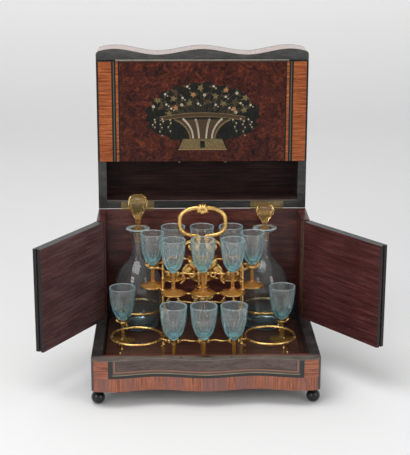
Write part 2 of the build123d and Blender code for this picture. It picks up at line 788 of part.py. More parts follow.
with BuildPart() as plates:
    with BuildSketch(Plane.XY.offset(board_top + plate_level)):
        for _, x, y, _ in high_spots:
            with Locations((carrier_x + x, carrier_y + y)):
                Circle(plate_radius)
        with Locations((carrier_x, carrier_y)):
            Circle(hub_radius)
        tier_links(plate_radius - weld)
        with Locations(*post_spots):
            Circle(post_radius + holder_band / 2)
            Circle(post_radius + pin_clearance, mode=Mode.SUBTRACT)
    extrude(amount=plate_thick)
save(plates, "upper_plate_tier")

high_holder_z = board_top + high_holder_level
with BuildPart() as high_holders:
    with BuildSketch(Plane.XY.offset(high_holder_z)):
        with Locations((carrier_x, carrier_y)):
            Circle(hub_radius)
        tier_links(holder_reach)
        for _, x, y, opening in high_spots:
            holder(carrier_x + x, carrier_y + y, opening)
        with Locations(*post_spots):
            Circle(post_radius + holder_band / 2)
        with Locations(*rod_spots):
            Circle(handle_rod_radius + pin_clearance, mode=Mode.SUBTRACT)
    extrude(amount=holder_thick)
save(high_holders, "upper_glass_holders")

with BuildPart() as posts:
    with BuildSketch(Plane.XY.offset(board_top)):
        with Locations(*post_spots):
            Circle(post_radius)
    extrude(amount=high_holder_level)
    with BuildSketch(Plane.XY.offset(board_top)):
        with Locations((carrier_x, carrier_y)):
            Circle(column_radius)
    extrude(amount=plate_level)
save(posts, "tier_posts")

handle_z = board_top + handle_centre
with BuildPart() as handle:
    with BuildLine(Plane.XZ.offset(-carrier_y)) as oval:
        EllipticalCenterArc((carrier_x, handle_z), handle_width / 2 - handle_wire,
                            handle_height / 2 - handle_wire, arc_size=full_turn)
    with BuildSketch(Plane(origin=oval.line @ 0, z_dir=oval.line % 0)):
        Circle(handle_wire)
    sweep(path=oval.line)
    with BuildSketch(Plane.XY.offset(plate_top)):
        with Locations(*rod_spots):
            Circle(handle_rod_radius)
    extrude(amount=handle_z - handle_height / 2 + handle_wire - plate_top)
    with Locations((carrier_x, carrier_y, handle_z + handle_height / 2 - handle_wire)):
        Sphere(shell_radius)
save(handle, "carry_handle")


def turning_plane(x, y, z):
    """Upright plane through a turned piece's axis: local x is its radius, local y its height."""
    return Plane(origin=(x, y, z), x_dir=(1, 0, 0), z_dir=(0, -1, 0))


def stemmed_glass(x, y, z, height, rim, bowl, foot):
    """One stemmed glass: a flat foot, a waisted stem and a hollow bowl, turned about its axis."""
    stem_top = height - bowl
    bowl_low = stem_top + bowl_low_share * bowl
    bowl_middle = stem_top + bowl_middle_share * bowl
    with BuildPart() as glass:
        with BuildSketch(turning_plane(x, y, z)):
            with BuildLine():
                Polyline((0, 0), (foot, 0), (foot, foot_rim))
                Spline((foot, foot_rim), (foot * foot_knee, foot_crown), (stem_radius, stem_root),
                       tangents=(foot_edge_slope, upward))
                Spline((stem_radius, stem_root), (stem_radius * stem_waist, (stem_root + stem_top) / 2),
                       (stem_radius * stem_flare, stem_top), tangents=(upward, bowl_root_slope))
                Spline((stem_radius * stem_flare, stem_top), (rim * bowl_low_width, bowl_low),
                       (rim * bowl_middle_width, bowl_middle), (rim, height),
                       tangents=(bowl_spread_slope, bowl_rim_slope))
                Line((rim, height), (rim - bowl_wall, height))
                Spline((rim - bowl_wall, height), (rim * bowl_middle_width - bowl_wall, bowl_middle),
                       (rim * bowl_low_width - bowl_wall, bowl_low + bowl_wall / 2),
                       (0, stem_top + bowl_floor), tangents=(hollow_rim_slope, hollow_floor_slope))
                Line((0, stem_top + bowl_floor), (0, 0))
            make_face()
        revolve(axis=Axis((x, y, z), (0, 0, 1)))
    return glass


for name, x, y, _ in high_spots:
    glass = stemmed_glass(carrier_x + x, carrier_y + y, plate_top, high_glass_height, high_rim_radius,
                          high_bowl, high_foot_radius)
    save(glass, f"upper_glass_{name}")

low_spots = [
    ("front_left", -low_glass_x, -low_glass_y), ("front_middle", 0, -low_glass_y),
    ("front_right", low_glass_x, -low_glass_y), ("side_left", -low_side_x, 0),
    ("side_right", low_side_x, 0),
]
for name, x, y in low_spots:
    glass = stemmed_glass(carrier_x + x, carrier_y + y, board_top, low_glass_height, low_rim_radius,
                          low_bowl, low_foot_radius)
    save(glass, f"lower_glass_{name}")


def decanter(x, y):
    """A hollow decanter: flat foot, bell-shaped body, straight neck and a wide flat lip."""
    in_ring = ring_radius - ring_wire - ring_clearance
    bore = decanter_neck - decanter_wall
    lip_root = decanter_height - decanter_lip_height
    lip_edge = decanter_height - decanter_wall / 2
    with BuildPart() as bottle:
        with BuildSketch(turning_plane(x, y, board_top)):
            with BuildLine():
                Line((0, 0), (decanter_foot, 0))
                Spline((decanter_foot, 0), (in_ring, ring_level), (decanter_belly, decanter_belly_height),
                       (decanter_shoulder, decanter_shoulder_height), (decanter_neck, decanter_neck_height),
                       tangents=(decanter_foot_slope, upward))
                Line((decanter_neck, decanter_neck_height), (decanter_neck, lip_root))
                Spline((decanter_neck, lip_root), (decanter_lip, lip_edge), tangents=(lip_root_slope, lip_edge_slope))
                Line((decanter_lip, lip_edge), (decanter_lip, decanter_height))
                Line((decanter_lip, decanter_height), (bore, decanter_height))
                Line((bore, decanter_height), (bore, decanter_neck_height))
                Spline((bore, decanter_neck_height),
                       (decanter_shoulder - decanter_wall, decanter_shoulder_height - decanter_wall / 2),
                       (decanter_belly - decanter_wall, decanter_belly_height),
                       (in_ring - decanter_wall, ring_level),
                       (decanter_foot - decanter_wall, decanter_floor),
                       tangents=(downward, hollow_foot_slope))
                Line((decanter_foot - decanter_wall, decanter_floor), (0, decanter_floor))
                Line((0, decanter_floor), (0, 0))
            make_face()
        revolve(axis=Axis((x, y, board_top), (0, 0, 1)))
    return bottle


def stopper(x, y, height, radius):
    """A pear-shaped stopper that rests on the lip, with its plug inside the neck."""
    lip = board_top + decanter_height
    bore = decanter_neck - decanter_wall
    plug_radius = bore - plug_gap
    seat = bore + stopper_seat_width
    with BuildPart() as pear:
        with BuildSketch(turning_plane(x, y, lip)):
            with BuildLine():
                Polyline((0, -plug_length), (plug_radius - plug_taper, -plug_length), (plug_radius, 0),
                         (seat, 0), (seat, stopper_collar))
                Spline((seat, stopper_collar), (stopper_waist, (height - radius) * stopper_waist_share),
                       (radius, height - radius), tangents=(stopper_waist_slope, upward))
                Spline((radius, height - radius), (0, height), tangents=(upward, inward))
                Line((0, height), (0, -plug_length))
            make_face()
        revolve(axis=Axis((x, y, lip), (0, 0, 1)))
    return pear


rear_ring_y = carrier_y + decanter_y
for side, hand, height, radius in ((-1, "left", left_stopper_height, left_stopper_radius),
                                   (1, "right", right_stopper_height, right_stopper_radius)):
    x = carrier_x + side * decanter_x
    save(decanter(x, rear_ring_y), f"decanter_{hand}")
    save(stopper(x, rear_ring_y, height, radius), f"stopper_{hand}")
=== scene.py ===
import json
from math import cos, pi, radians, sin, tau

import bmesh
import bpy
from mathutils import Matrix, Vector

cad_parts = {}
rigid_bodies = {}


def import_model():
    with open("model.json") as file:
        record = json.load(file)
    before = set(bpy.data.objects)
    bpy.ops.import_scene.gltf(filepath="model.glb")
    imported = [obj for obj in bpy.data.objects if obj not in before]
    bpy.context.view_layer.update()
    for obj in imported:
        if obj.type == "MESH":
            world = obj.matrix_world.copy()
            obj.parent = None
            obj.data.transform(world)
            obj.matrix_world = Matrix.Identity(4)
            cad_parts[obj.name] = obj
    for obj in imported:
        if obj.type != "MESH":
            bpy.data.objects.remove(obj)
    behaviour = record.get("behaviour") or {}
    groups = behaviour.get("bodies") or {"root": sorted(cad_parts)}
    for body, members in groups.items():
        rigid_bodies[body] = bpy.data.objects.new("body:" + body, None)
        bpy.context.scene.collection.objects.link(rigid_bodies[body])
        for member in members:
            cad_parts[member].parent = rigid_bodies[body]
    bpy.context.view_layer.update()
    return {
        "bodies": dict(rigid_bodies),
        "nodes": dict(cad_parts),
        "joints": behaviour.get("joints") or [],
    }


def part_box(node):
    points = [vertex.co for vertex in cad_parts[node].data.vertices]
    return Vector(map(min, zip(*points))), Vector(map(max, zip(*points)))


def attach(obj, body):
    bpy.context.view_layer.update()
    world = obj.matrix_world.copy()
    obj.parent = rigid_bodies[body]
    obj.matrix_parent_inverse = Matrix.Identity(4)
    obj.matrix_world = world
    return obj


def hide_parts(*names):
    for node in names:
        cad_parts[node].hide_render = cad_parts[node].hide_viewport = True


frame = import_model()
nodes = frame["nodes"]
MM = 0.001


# Shader graphs

class Graph:
    """A node material under construction. Its methods return sockets, which the next method takes."""

    def __init__(self, name, **shader_values):
        self.material = bpy.data.materials.new(name)
        self.material.use_nodes = True
        self.tree = self.material.node_tree
        self.shader = self.tree.nodes["Principled BSDF"]
        for socket, value in shader_values.items():
            self.shader.inputs[socket.replace("_", " ")].default_value = value
        coordinates = self.tree.nodes.new("ShaderNodeTexCoord")
        self.place = coordinates.outputs["Object"]
        self.normal = coordinates.outputs["Normal"]

    def put(self, socket, value):
        if isinstance(value, bpy.types.NodeSocket):
            self.tree.links.new(value, socket)
        else:
            socket.default_value = value

    def add(self, kind, inputs, output=0, **settings):
        """Adds a node with these settings and inputs, and returns one of its outputs."""
        node = self.tree.nodes.new(f"ShaderNode{kind}")
        for name, value in settings.items():
            setattr(node, name, value)
        for key, value in inputs.items():
            self.put(node.inputs[key], value)
        return node.outputs[output]

    def math(self, operation, a, b=0, clamp=False):
        return self.add("Math", {0: a, 1: b}, operation=operation, use_clamp=clamp)

    def along(self, direction, origin=(0, 0, 0), vector=None):
        """Distance of the shaded point from origin along a direction."""
        shift = self.add("VectorMath", {0: vector or self.place, 1: origin}, operation="SUBTRACT")
        return self.add("VectorMath", {0: shift, 1: direction}, "Value", operation="DOT_PRODUCT")

    def facing(self, direction, least=0.7):
        """One where the surface faces this direction of the piece, zero elsewhere."""
        return self.math("GREATER_THAN", self.along(direction, vector=self.normal), least)

    def above(self, value, edge, soft=0.0001):
        """Zero below an edge and one above it, with a soft change to both sides of it."""
        return self.add("MapRange", {"Value": value, "From Min": edge - soft, "From Max": edge + soft},
                        "Result")

    def below(self, value, edge):
        return self.math("SUBTRACT", 1, self.above(value, edge))

    def level(self, factor, low, high):
        """Maps a 0 to 1 pattern to a range of values."""
        return self.add("MapRange", {"Value": factor, "To Min": low, "To Max": high}, "Result")

    def mix(self, factor, a, b, blend="MIX"):
        a, b = (tone if isinstance(tone, bpy.types.NodeSocket) else (*tone, 1) for tone in (a, b))
        return self.add("Mix", {0: factor, 6: a, 7: b}, 2, data_type="RGBA", blend_type=blend)

    def darken(self, colour, factor, amount):
        """Multiplies a colour down by a 0 to 1 pattern."""
        return self.mix(factor, colour, (amount, amount, amount), "MULTIPLY")

    def noise(self, grain, turn=0, detail=5, roughness=0.55, distortion=0):
        """Noise with features of grain millimetres, one size or (x, y, z), turned about Z in degrees."""
        sizes = grain if isinstance(grain, (list, tuple)) else [grain] * 3
        place = self.add("Mapping", {"Vector": self.place, "Rotation": (0, 0, radians(turn)),
                                     "Scale": [size * MM for size in sizes]}, vector_type="TEXTURE")
        return self.add("TexNoise", {"Vector": place, "Scale": 1, "Detail": detail, "Roughness": roughness,
                                     "Distortion": distortion}, "Fac")

    def ramp(self, factor, stops):
        colour = self.add("ValToRGB", {0: factor})
        points = colour.node.color_ramp.elements
        while len(points) < len(stops):
            points.new(0.5)
        for point, (at_share, tone) in zip(points, stops):
            point.position = at_share
            point.color = (*tone, 1)
        return colour

    def bump(self, height, distance, strength=1):
        normal = self.add("Bump", {"Strength": strength, "Distance": distance * MM, "Height": height})
        self.put(self.shader.inputs["Normal"], normal)

    def finish(self, colour, pattern=None, smooth=0, rough=1):
        """Sets the colour, and the roughness where a 0 to 1 pattern says how rough it is."""
        self.put(self.shader.inputs["Base Color"], colour)
        if pattern:
            self.put(self.shader.inputs["Roughness"], self.level(pattern, smooth, rough))
        return self.material


# Woods, each as its dark, middle and light tone

KINGWOOD = ((0.1, 0.022, 0.008), (0.33, 0.085, 0.026), (0.52, 0.165, 0.058))
BASE_KINGWOOD = ((0.1, 0.026, 0.014), (0.3, 0.088, 0.04), (0.46, 0.155, 0.07))
FRONT_KINGWOOD = ((0.2, 0.08, 0.05), (0.36, 0.17, 0.11), (0.5, 0.28, 0.2))
BASE_FIELD = ((0.05, 0.03, 0.026), (0.085, 0.052, 0.045), (0.13, 0.085, 0.075))
ROSEWOOD = ((0.03, 0.007, 0.007), (0.082, 0.019, 0.015), (0.15, 0.04, 0.028))
PANEL_BACK = ((0.024, 0.006, 0.006), (0.058, 0.014, 0.013), (0.105, 0.028, 0.024))
# The left door's inside is painted lighter and less red than the right door's: a painted sheen
LEFT_DOOR_INSIDE_SHEEN = ((0.048, 0.022, 0.023), (0.1, 0.046, 0.048), (0.165, 0.085, 0.086))
RIGHT_DOOR_INSIDE = ((0.034, 0.01, 0.01), (0.076, 0.022, 0.022), (0.13, 0.045, 0.043))
MAHOGANY = ((0.036, 0.013, 0.01), (0.086, 0.034, 0.024), (0.15, 0.066, 0.044))
LID_LINING = ((0.01, 0.005, 0.005), (0.022, 0.01, 0.009), (0.045, 0.02, 0.017))
# Lighter copy of the lid lining: the painted reflection on the lid rear rail's top face
RAIL_TOP_LINING_SHEEN = ((0.03, 0.015, 0.013), (0.064, 0.032, 0.028), (0.1, 0.055, 0.048))
LIP_WOOD = ((0.06, 0.016, 0.01), (0.15, 0.042, 0.026), (0.26, 0.085, 0.05))
FOOT_BLACK = ((0.004, 0.004, 0.005), (0.008, 0.008, 0.009), (0.016, 0.015, 0.015))
BURL_STOPS = ((0.32, (0.009, 0.004, 0.005)), (0.42, (0.04, 0.01, 0.008)),
              (0.54, (0.08, 0.018, 0.01)), (0.68, (0.175, 0.04, 0.017)))

# Single colours

EBONY = (0.011, 0.012, 0.012)
FADED_EBONY = (0.056, 0.051, 0.047)
BARE_SCRATCH = (0.15, 0.125, 0.1)
# Pale tone of the lines along the lid rear rail's arrises
PALE_ARRIS_LINE = (0.26, 0.22, 0.2)
BASE_PLUM = (0.15, 0.072, 0.068)
BASE_INNER_BAND = (0.05, 0.042, 0.04)
LINE_BRASS = (0.36, 0.28, 0.14)
DULL_LINE_BRASS = (0.08, 0.06, 0.04)
LINE_GREEN = (0.085, 0.078, 0.05)
LINE_ORANGE = (0.3, 0.11, 0.045)
LINE_BROWN = (0.13, 0.075, 0.06)
# Top of the base's front rail: rubbed brown wear, together with a painted sheen of the light the top face
# catches
CAP_WEAR_AND_SHEEN = (0.19, 0.155, 0.135)
DARK_CAP = (0.05, 0.045, 0.042)
# Pale tone of the painted highlight along glass rims
RIM_HIGHLIGHT_PALE = (0.72, 0.95, 0.97)

# Grain of a figure that runs on along an axis, in millimetres

ENDLESS = 400
CROSS_GRAIN = (1.6, 30, 30)
LEVEL_GRAIN = (30, 30, 1.6)


def streaks(graph, grain, tones, turn=0):
    """Veneer colour: long soft figure, fine darker pores and a slow change of tone."""
    figure = graph.noise(grain, turn, detail=6, roughness=0.62)
    colour = graph.ramp(figure, list(zip((0.3, 0.5, 0.68), tones)))
    pores = graph.noise([size / 6 for size in grain], turn, detail=3)
    colour = graph.darken(colour, graph.above(pores, 0.56, 0.05), 0.62)
    tone = graph.noise(55, turn, detail=1)
    return graph.darken(colour, graph.level(tone, -0.35, 0.75), 0.6)


def burl_colour(graph):
    """Amboyna-like burl: dark clouds and knots over a red-brown ground, with small bright flames."""
    clouds = graph.noise(13, detail=7, roughness=0.68, distortion=1.1)
    colour = graph.ramp(clouds, BURL_STOPS)
    knots = graph.noise(3.2, detail=4, roughness=0.6, distortion=0.6)
    colour = graph.darken(colour, graph.above(knots, 0.55, 0.06), 0.45)
    sweep_of_tone = graph.noise(48, detail=2)
    return graph.darken(colour, graph.level(sweep_of_tone, -0.5, 1), 0.5)


def polished_wood(name, tones, grain, gloss=0.3, coat=0.5):
    graph = Graph(name, Coat_Weight=coat, Coat_Roughness=0.12, Specular_IOR_Level=0.4 * coat + 0.1)
    graph.bump(graph.noise([size / 4 for size in grain], detail=2), 0.05)
    return graph.finish(streaks(graph, grain, tones), graph.noise(9), gloss - 0.06, gloss + 0.12)


def ebonised_wood(name, coat=0.25, veneered_top=False):
    """Black stained wood, with greyer tone where hands have rubbed it and small bright scratches.
    With veneered_top, what faces up on the open cabinet is the kingwood of the lid's front."""
    graph = Graph(name, Coat_Weight=coat, Coat_Roughness=0.2 - 0.16 * coat, Specular_IOR_Level=0.35)
    wear = graph.noise([22, 22, 5], detail=7, roughness=0.7)
    colour = graph.mix(graph.above(wear, 0.53, 0.14), EBONY, FADED_EBONY)
    scratches = graph.noise([16, 1, 1], detail=4, roughness=0.8)
    colour = graph.mix(graph.above(scratches, 0.71, 0.02), colour, BARE_SCRATCH)
    if veneered_top:
        colour = graph.mix(graph.facing((0, 0, 1), 0.6), colour, streaks(graph, CROSS_GRAIN, FRONT_KINGWOOD))
    graph.bump(scratches, 0.04)
    return graph.finish(colour, wear, 0.28, 0.5)


def rear_rail_finish_and_sheen(low, high):
    """The lid's rear rail: black, with pale lines along its top and bottom arrises, and a painted reflection
    on its top face: faces that point up are a lighter copy of the red-brown lining.
    """
    graph = Graph("lid_rear_rail_finish", Coat_Weight=0.25, Coat_Roughness=0.2, Specular_IOR_Level=0.35)
    height = graph.along((0, 0, 1))
    worn = graph.noise([30, 8, 3], detail=6, roughness=0.7)
    colour = graph.mix(graph.above(worn, 0.6, 0.12), EBONY, FADED_EBONY)
    # Pale lines along the top 0.8 mm and bottom 1 mm of the rail, mottled by the same noise as the faded
    # patches
    arrises = graph.math("MAXIMUM", graph.above(height, high.z - 0.8 * MM),
                         graph.below(height, low.z + MM))
    colour = graph.mix(graph.math("MULTIPLY", arrises, graph.level(worn, 0.3, 1)), colour, PALE_ARRIS_LINE)
    # Painted reflection: faces that point up take the lighter copy of the lining wood
    lining = streaks(graph, (60, 20, 3), RAIL_TOP_LINING_SHEEN)
    colour = graph.mix(graph.facing((0, 0, 1), 0.6), colour, lining)
    return graph.finish(colour, worn, 0.28, 0.5)


def metal(name, bright, dull, tarnish, rough, grain):
    """Gilt bronze or brass: bright in some patches, browner in others, with a few tarnished spots."""
    graph = Graph(name, Metallic=1)
    patches = graph.noise(grain * 3, detail=5, roughness=0.7)
    fine = graph.noise(grain / 4, detail=3)
    colour = graph.mix(graph.above(patches, 0.52, 0.16), bright, dull)
    colour = graph.mix(graph.above(patches, 0.66, 0.05), colour, tarnish)
    graph.bump(fine, 0.08, 0.6)
    return graph.finish(colour, patches, rough - 0.08, rough + 0.14)


def glass(name, body, tinge=None, low=0, high=1, haze=0, rough=0.015, glow=0, rim=1):
    """Clear glass that takes a second tinge below a height, streaked a little by the blowing.
    The tinge also gathers where the wall turns away, because light passes through more of it there,
    and above the rim's height a pale, less clear band is painted on as a highlight along the rim."""
    graph = Graph(name, IOR=1.42, Specular_IOR_Level=0.8)
    colour = graph.mix(graph.noise([6, 6, 26], detail=2), body, [part * 0.96 for part in body])
    passed = 1 - haze
    if tinge:
        height = graph.along((0, 0, 1))
        fade = graph.add("MapRange", {"Value": height, "From Min": high, "From Max": low}, "Result",
                         interpolation_type="SMOOTHSTEP")
        colour = graph.mix(graph.math("MULTIPLY", fade, 0.6), colour, tinge)
        turned = graph.math("POWER", graph.add("LayerWeight", {"Blend": 0.5}, "Facing"), 2)
        colour = graph.mix(graph.math("MULTIPLY", turned, 0.9 if glow else 0.3), colour, tinge)
        # Painted highlight: above the rim's height the glass turns partly pale and less clear
        edge = graph.math("MULTIPLY", graph.above(height, rim, 0.3 * MM), 0.28)
        colour = graph.mix(edge, colour, RIM_HIGHLIGHT_PALE)
        body_share = graph.math("MULTIPLY", turned, graph.level(fade, glow * 0.6, glow * 1.5))
        passed = graph.math("SUBTRACT", passed, graph.math("MAXIMUM", body_share, edge), clamp=True)
    graph.put(graph.shader.inputs["Transmission Weight"], passed)
    return graph.finish(colour, graph.noise(12), rough, rough * 3)


def banded_panel(name, centre, half_width, outward, across=(1, 0, 0), rest=PANEL_BACK, grain_turn=0,
                 coat=0.05):
    """A veneered face: burl field, then black, brass-green and black lines, then kingwood to a black edge.
    Only faces turned outward get the marquetry; the others are plain polished veneer and black edges."""
    graph = Graph(name, Coat_Weight=coat, Coat_Roughness=0.12, Specular_IOR_Level=0.11)
    offset = graph.math("ABSOLUTE", graph.along(across, centre))
    kingwood = streaks(graph, LEVEL_GRAIN, KINGWOOD, grain_turn)
    colour = burl_colour(graph)
    bands = ((35, EBONY), (32.8, kingwood), (29.2, EBONY), (26.8, LINE_GREEN), (25.2, EBONY),
             (22.6, kingwood), (2.7, EBONY))
    for inset, tone in bands:
        colour = graph.mix(graph.above(offset, half_width - inset * MM), colour, tone)
    plain = streaks(graph, (60, 60, 3), rest, grain_turn)
    inside = graph.facing([-part for part in outward])
    colour = graph.mix(graph.facing(outward), graph.mix(inside, EBONY, plain), colour)
    graph.bump(graph.noise(2, detail=3), 0.03)
    return graph.finish(colour, graph.noise(9), 0.22, 0.4)


def base_front_panel(name, top, low):
    """The serpentine front: crossbanding below and at both ends, a black and a brass line, a dark field."""
    graph = Graph(name, Coat_Weight=0.35, Coat_Roughness=0.16, Specular_IOR_Level=0.4)
    height = graph.along((0, 0, 1))
    offset = graph.math("ABSOLUTE", graph.along((1, 0, 0)))
    blocks = graph.noise([16, ENDLESS, ENDLESS], detail=1)
    upright = streaks(graph, (1.5, 30, 30), BASE_KINGWOOD)
    upright = graph.mix(graph.math("MULTIPLY", graph.above(blocks, 0.54, 0.05), 0.62), upright, BASE_PLUM)
    ends = streaks(graph, LEVEL_GRAIN, BASE_KINGWOOD)
    colour = streaks(graph, (40, 40, 5), BASE_FIELD)
    line = graph.mix(graph.noise([30, 30, 9], detail=2), LINE_ORANGE, LINE_BROWN)
    brass_line = graph.mix(graph.noise([25, ENDLESS, ENDLESS], detail=2), DULL_LINE_BRASS, LINE_BRASS)
    # Each band starts this far out from the middle, or below this height over the rail's lower edge
    bands = ((129, 31.6, EBONY), (129.9, 30.7, line), (132.4, 28.4, BASE_INNER_BAND),
             (ENDLESS, 25.8, brass_line), (134.2, 24.6, EBONY))
    for out, rise, tone in bands:
        outside = graph.math("MAXIMUM", graph.above(offset, out * MM), graph.below(height, low + rise * MM))
        colour = graph.mix(outside, colour, tone)
    colour = graph.mix(graph.above(offset, 140.4 * MM), colour, ends)
    colour = graph.mix(graph.above(height, low + 20.2 * MM), upright, colour)
    # Both ends go softly black past 161.5 mm: partly the black edge of the veneer, partly painted shade where
    # the corner rounds away
    colour = graph.mix(graph.above(offset, 161.5 * MM, 1.2 * MM), colour, EBONY)
    # The top face and the top millimetre of the front are painted grey-brown: partly wear, partly a painted
    # sheen where the top catches light
    cap = graph.mix(graph.noise(14, detail=6), DARK_CAP, CAP_WEAR_AND_SHEEN)
    colour = graph.mix(graph.above(height, top - MM), colour, cap)
    colour = graph.mix(graph.facing((0, -1, 0), 0.3), cap, colour)
    graph.bump(graph.noise([2, 30, 30], detail=2), 0.05)
    return graph.finish(colour, graph.noise(9), 0.28, 0.48)


gilt = metal("gilt_bronze", (0.82, 0.53, 0.19), (0.6, 0.34, 0.11), (0.22, 0.105, 0.04), 0.24, 1.4)
brass = metal("aged_brass", (0.27, 0.2, 0.1), (0.17, 0.125, 0.065), (0.07, 0.052, 0.032), 0.42, 3)
dull_brass = metal("tarnished_brass", (0.3, 0.27, 0.22), (0.2, 0.18, 0.15), (0.09, 0.08, 0.07), 0.5, 5)
rosewood = polished_wood("rosewood_veneer", ROSEWOOD, (60, 20, 7), coat=0.25)
lining_wood = polished_wood("lid_lining_dark", LID_LINING, (60, 20, 3), gloss=0.4, coat=0)
mahogany = polished_wood("mahogany_polished", MAHOGANY, (60, 3, 20), gloss=0.34)
lip_wood = polished_wood("lip_red_brown", LIP_WOOD, (50, 2, 2))
ebony = ebonised_wood("ebonised_wood")
lid_ebony = ebonised_wood("ebonised_lid_front", 1, veneered_top=True)
foot_black = polished_wood("foot_black_polish", FOOT_BLACK, (12, 12, 2), gloss=0.18, coat=0.35)


# Meshes

def new_object(name, bm, materials, smooth=True):
    mesh = bpy.data.meshes.new(name)
    bm.to_mesh(mesh)
    bm.free()
    for material in materials:
        mesh.materials.append(material)
    mesh.polygons.foreach_set("use_smooth", [smooth] * len(mesh.polygons))
    obj = bpy.data.objects.new(name, mesh)
    bpy.context.scene.collection.objects.link(obj)
    return obj


def wrap_up(name, bm, body, materials, replaced=(), smooth=True):
    """Turns a bmesh into a piece that rides on a body and may stand for CAD nodes."""
    bmesh.ops.recalc_face_normals(bm, faces=bm.faces)
    piece = new_object(name, bm, materials, smooth)
    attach(piece, body)
    if replaced:
        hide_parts(*replaced)


def skin(bm, rings, closed=False):
    """Faces between rings of points of the same count. When closed, the last ring joins the first.
    Otherwise both end rings are filled."""
    loops = [[bm.verts.new(point) for point in ring] for ring in rings]
    count = len(loops[0])
    for lower, upper in zip(loops, loops[1:] + loops[:1] if closed else loops[1:]):
        for i in range(count):
            j = (i + 1) % count
            bm.faces.new((lower[i], lower[j], upper[j], upper[i]))
    if not closed:
        bm.faces.new(loops[0])
        bm.faces.new(loops[-1])
    return loops


def smooth_path(points, steps):
    """Catmull-Rom curve through points."""
    points = [Vector(point) for point in points]
    last = len(points) - 1
    out = []
    for i in range(last):
        a, b, c, d = (points[min(max(i + k, 0), last)] for k in (-1, 0, 1, 2))
        for step in range(steps):
            t = step / steps
            out.append(0.5 * ((2 * b) + (c - a) * t + (2 * a - 5 * b + 4 * c - d) * t**2
                              + (3 * b - a - 3 * c + d) * t**3))
    return out + [points[-1]]


def size_at(size, share):
    """Metres from a size in millimetres, which may be a function of the share of a length."""
    return (size(share) if callable(size) else size) * MM


def sweep(bm, path, width, height=None, up=(0, 0, 1), sides=10, closed=False, lobes=0, depth=0, turns=0):
    """A bar along a path. Width and height are millimetres, or functions of the share of its length.
    With lobes, the section is fluted, and it turns this many times along the way like a rope."""
    count = len(path)
    rings = []
    for i, point in enumerate(path):
        before = path[i - 1] if i or closed else path[0]
        after = path[(i + 1) % count] if i + 1 < count or closed else path[-1]
        tangent = (after - before).normalized()
        side = tangent.cross(Vector(up))
        if side.length < 1e-4:
            side = tangent.cross(Vector((0, 1, 0)))
        side.normalize()
        rise = side.cross(tangent)
        share = i / count if closed else i / (count - 1)
        half_w = size_at(width, share) / 2
        half_h = size_at(width if height is None else height, share) / 2
        ring = []
        for k in range(sides):
            angle = tau * k / sides
            swell = 1 + depth * cos(lobes * (angle + tau * turns * share))
            ring.append(point + side * (cos(angle) * half_w * swell) + rise * (sin(angle) * half_h * swell))
        rings.append(ring)
    skin(bm, rings, closed)


def ring_points(centre, radius, height, segments, shape=lambda angle: 1):
    """Points of a level ring at a height over a centre, in metres. The shape scales its radius by angle."""
    points = []
    for k in range(segments):
        angle = tau * k / segments
        r = radius * shape(angle)
        points.append(centre + Vector((r * cos(angle), r * sin(angle), height)))
    return points


def lathe(bm, centre, profile, segments):
    """A turned form about a vertical axis. The profile is (radius, height) in metres."""
    skin(bm, [ring_points(centre, radius, height, segments) for radius, height in profile])


def curve_profile(points, steps):
    """Smooths (radius, height) millimetre points into metres."""
    path = smooth_path([(r * MM, z * MM, 0) for r, z in points], steps)
    return [(max(point.x, 0.0001 * MM), point.y) for point in path]


def squared(angle, bend):
    """How far a squarish oval of radius one reaches at an angle. A bend of 2 gives a circle."""
    return (abs(cos(angle))**bend + abs(sin(angle))**bend)**(-1 / bend)


def centre_of(node):
    low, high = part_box(node)
    return (low + high) / 2, low, high


def bead(bm, centre, radius, stretch=1):
    """A small turned bead. Its centre is in metres and its radius in millimetres."""
    angles = [pi * k / 8 for k in range(9)]
    profile = [(max(radius * sin(angle), 0.02) * MM, -radius * stretch * cos(angle) * MM) for angle in angles]
    lathe(bm, Vector(centre), profile, 12)


# Carried-over CAD nodes: finishes, with narrow rounded edges that catch the light

def dress(node, material, edge):
    node.data.materials.clear()
    node.data.materials.append(material)
    if edge:
        bevel = node.modifiers.new("worn_edge", "BEVEL")
        bevel.width = edge * MM
        bevel.segments = 2
        bevel.limit_method = "ANGLE"
        bevel.angle_limit = radians(40)
        bevel.harden_normals = False


flap_low, flap_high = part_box("flap_panel")
rail_low, rail_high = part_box("base_front_rail")
flap_finish = banded_panel("flap_marquetry", (0, 0, 0), flap_high.x, (0, -1, 0))
lid_finish = banded_panel("lid_marquetry", (0, 0, 0), flap_high.x + MM, (0, 1, 0))
base_finish = base_front_panel("base_marquetry", rail_high.z, rail_low.z)


def door_material(name, side, inside):
    """Inner face polished red-brown, outer face burl with bands, all edges black."""
    door_low, door_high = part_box(name)
    hinge = name.replace("panel", "hinge")
    joint = next(j for j in frame["joints"] if j["name"] == hinge)
    pin = Vector(joint["pos_m"])
    far_x = door_low.x if side < 0 else door_high.x
    angle = -joint["range_deg"][0]
    along = Vector((side * sin(radians(angle)), -cos(radians(angle)), 0))
    outward = Vector((side * cos(radians(angle)), sin(radians(angle)), 0))
    length = abs((far_x - pin.x) / along.x)
    middle = pin + along * length / 2
    return banded_panel(f"{name}_finish", middle, length / 2, outward, along, inside, side * -angle, coat=0.3)


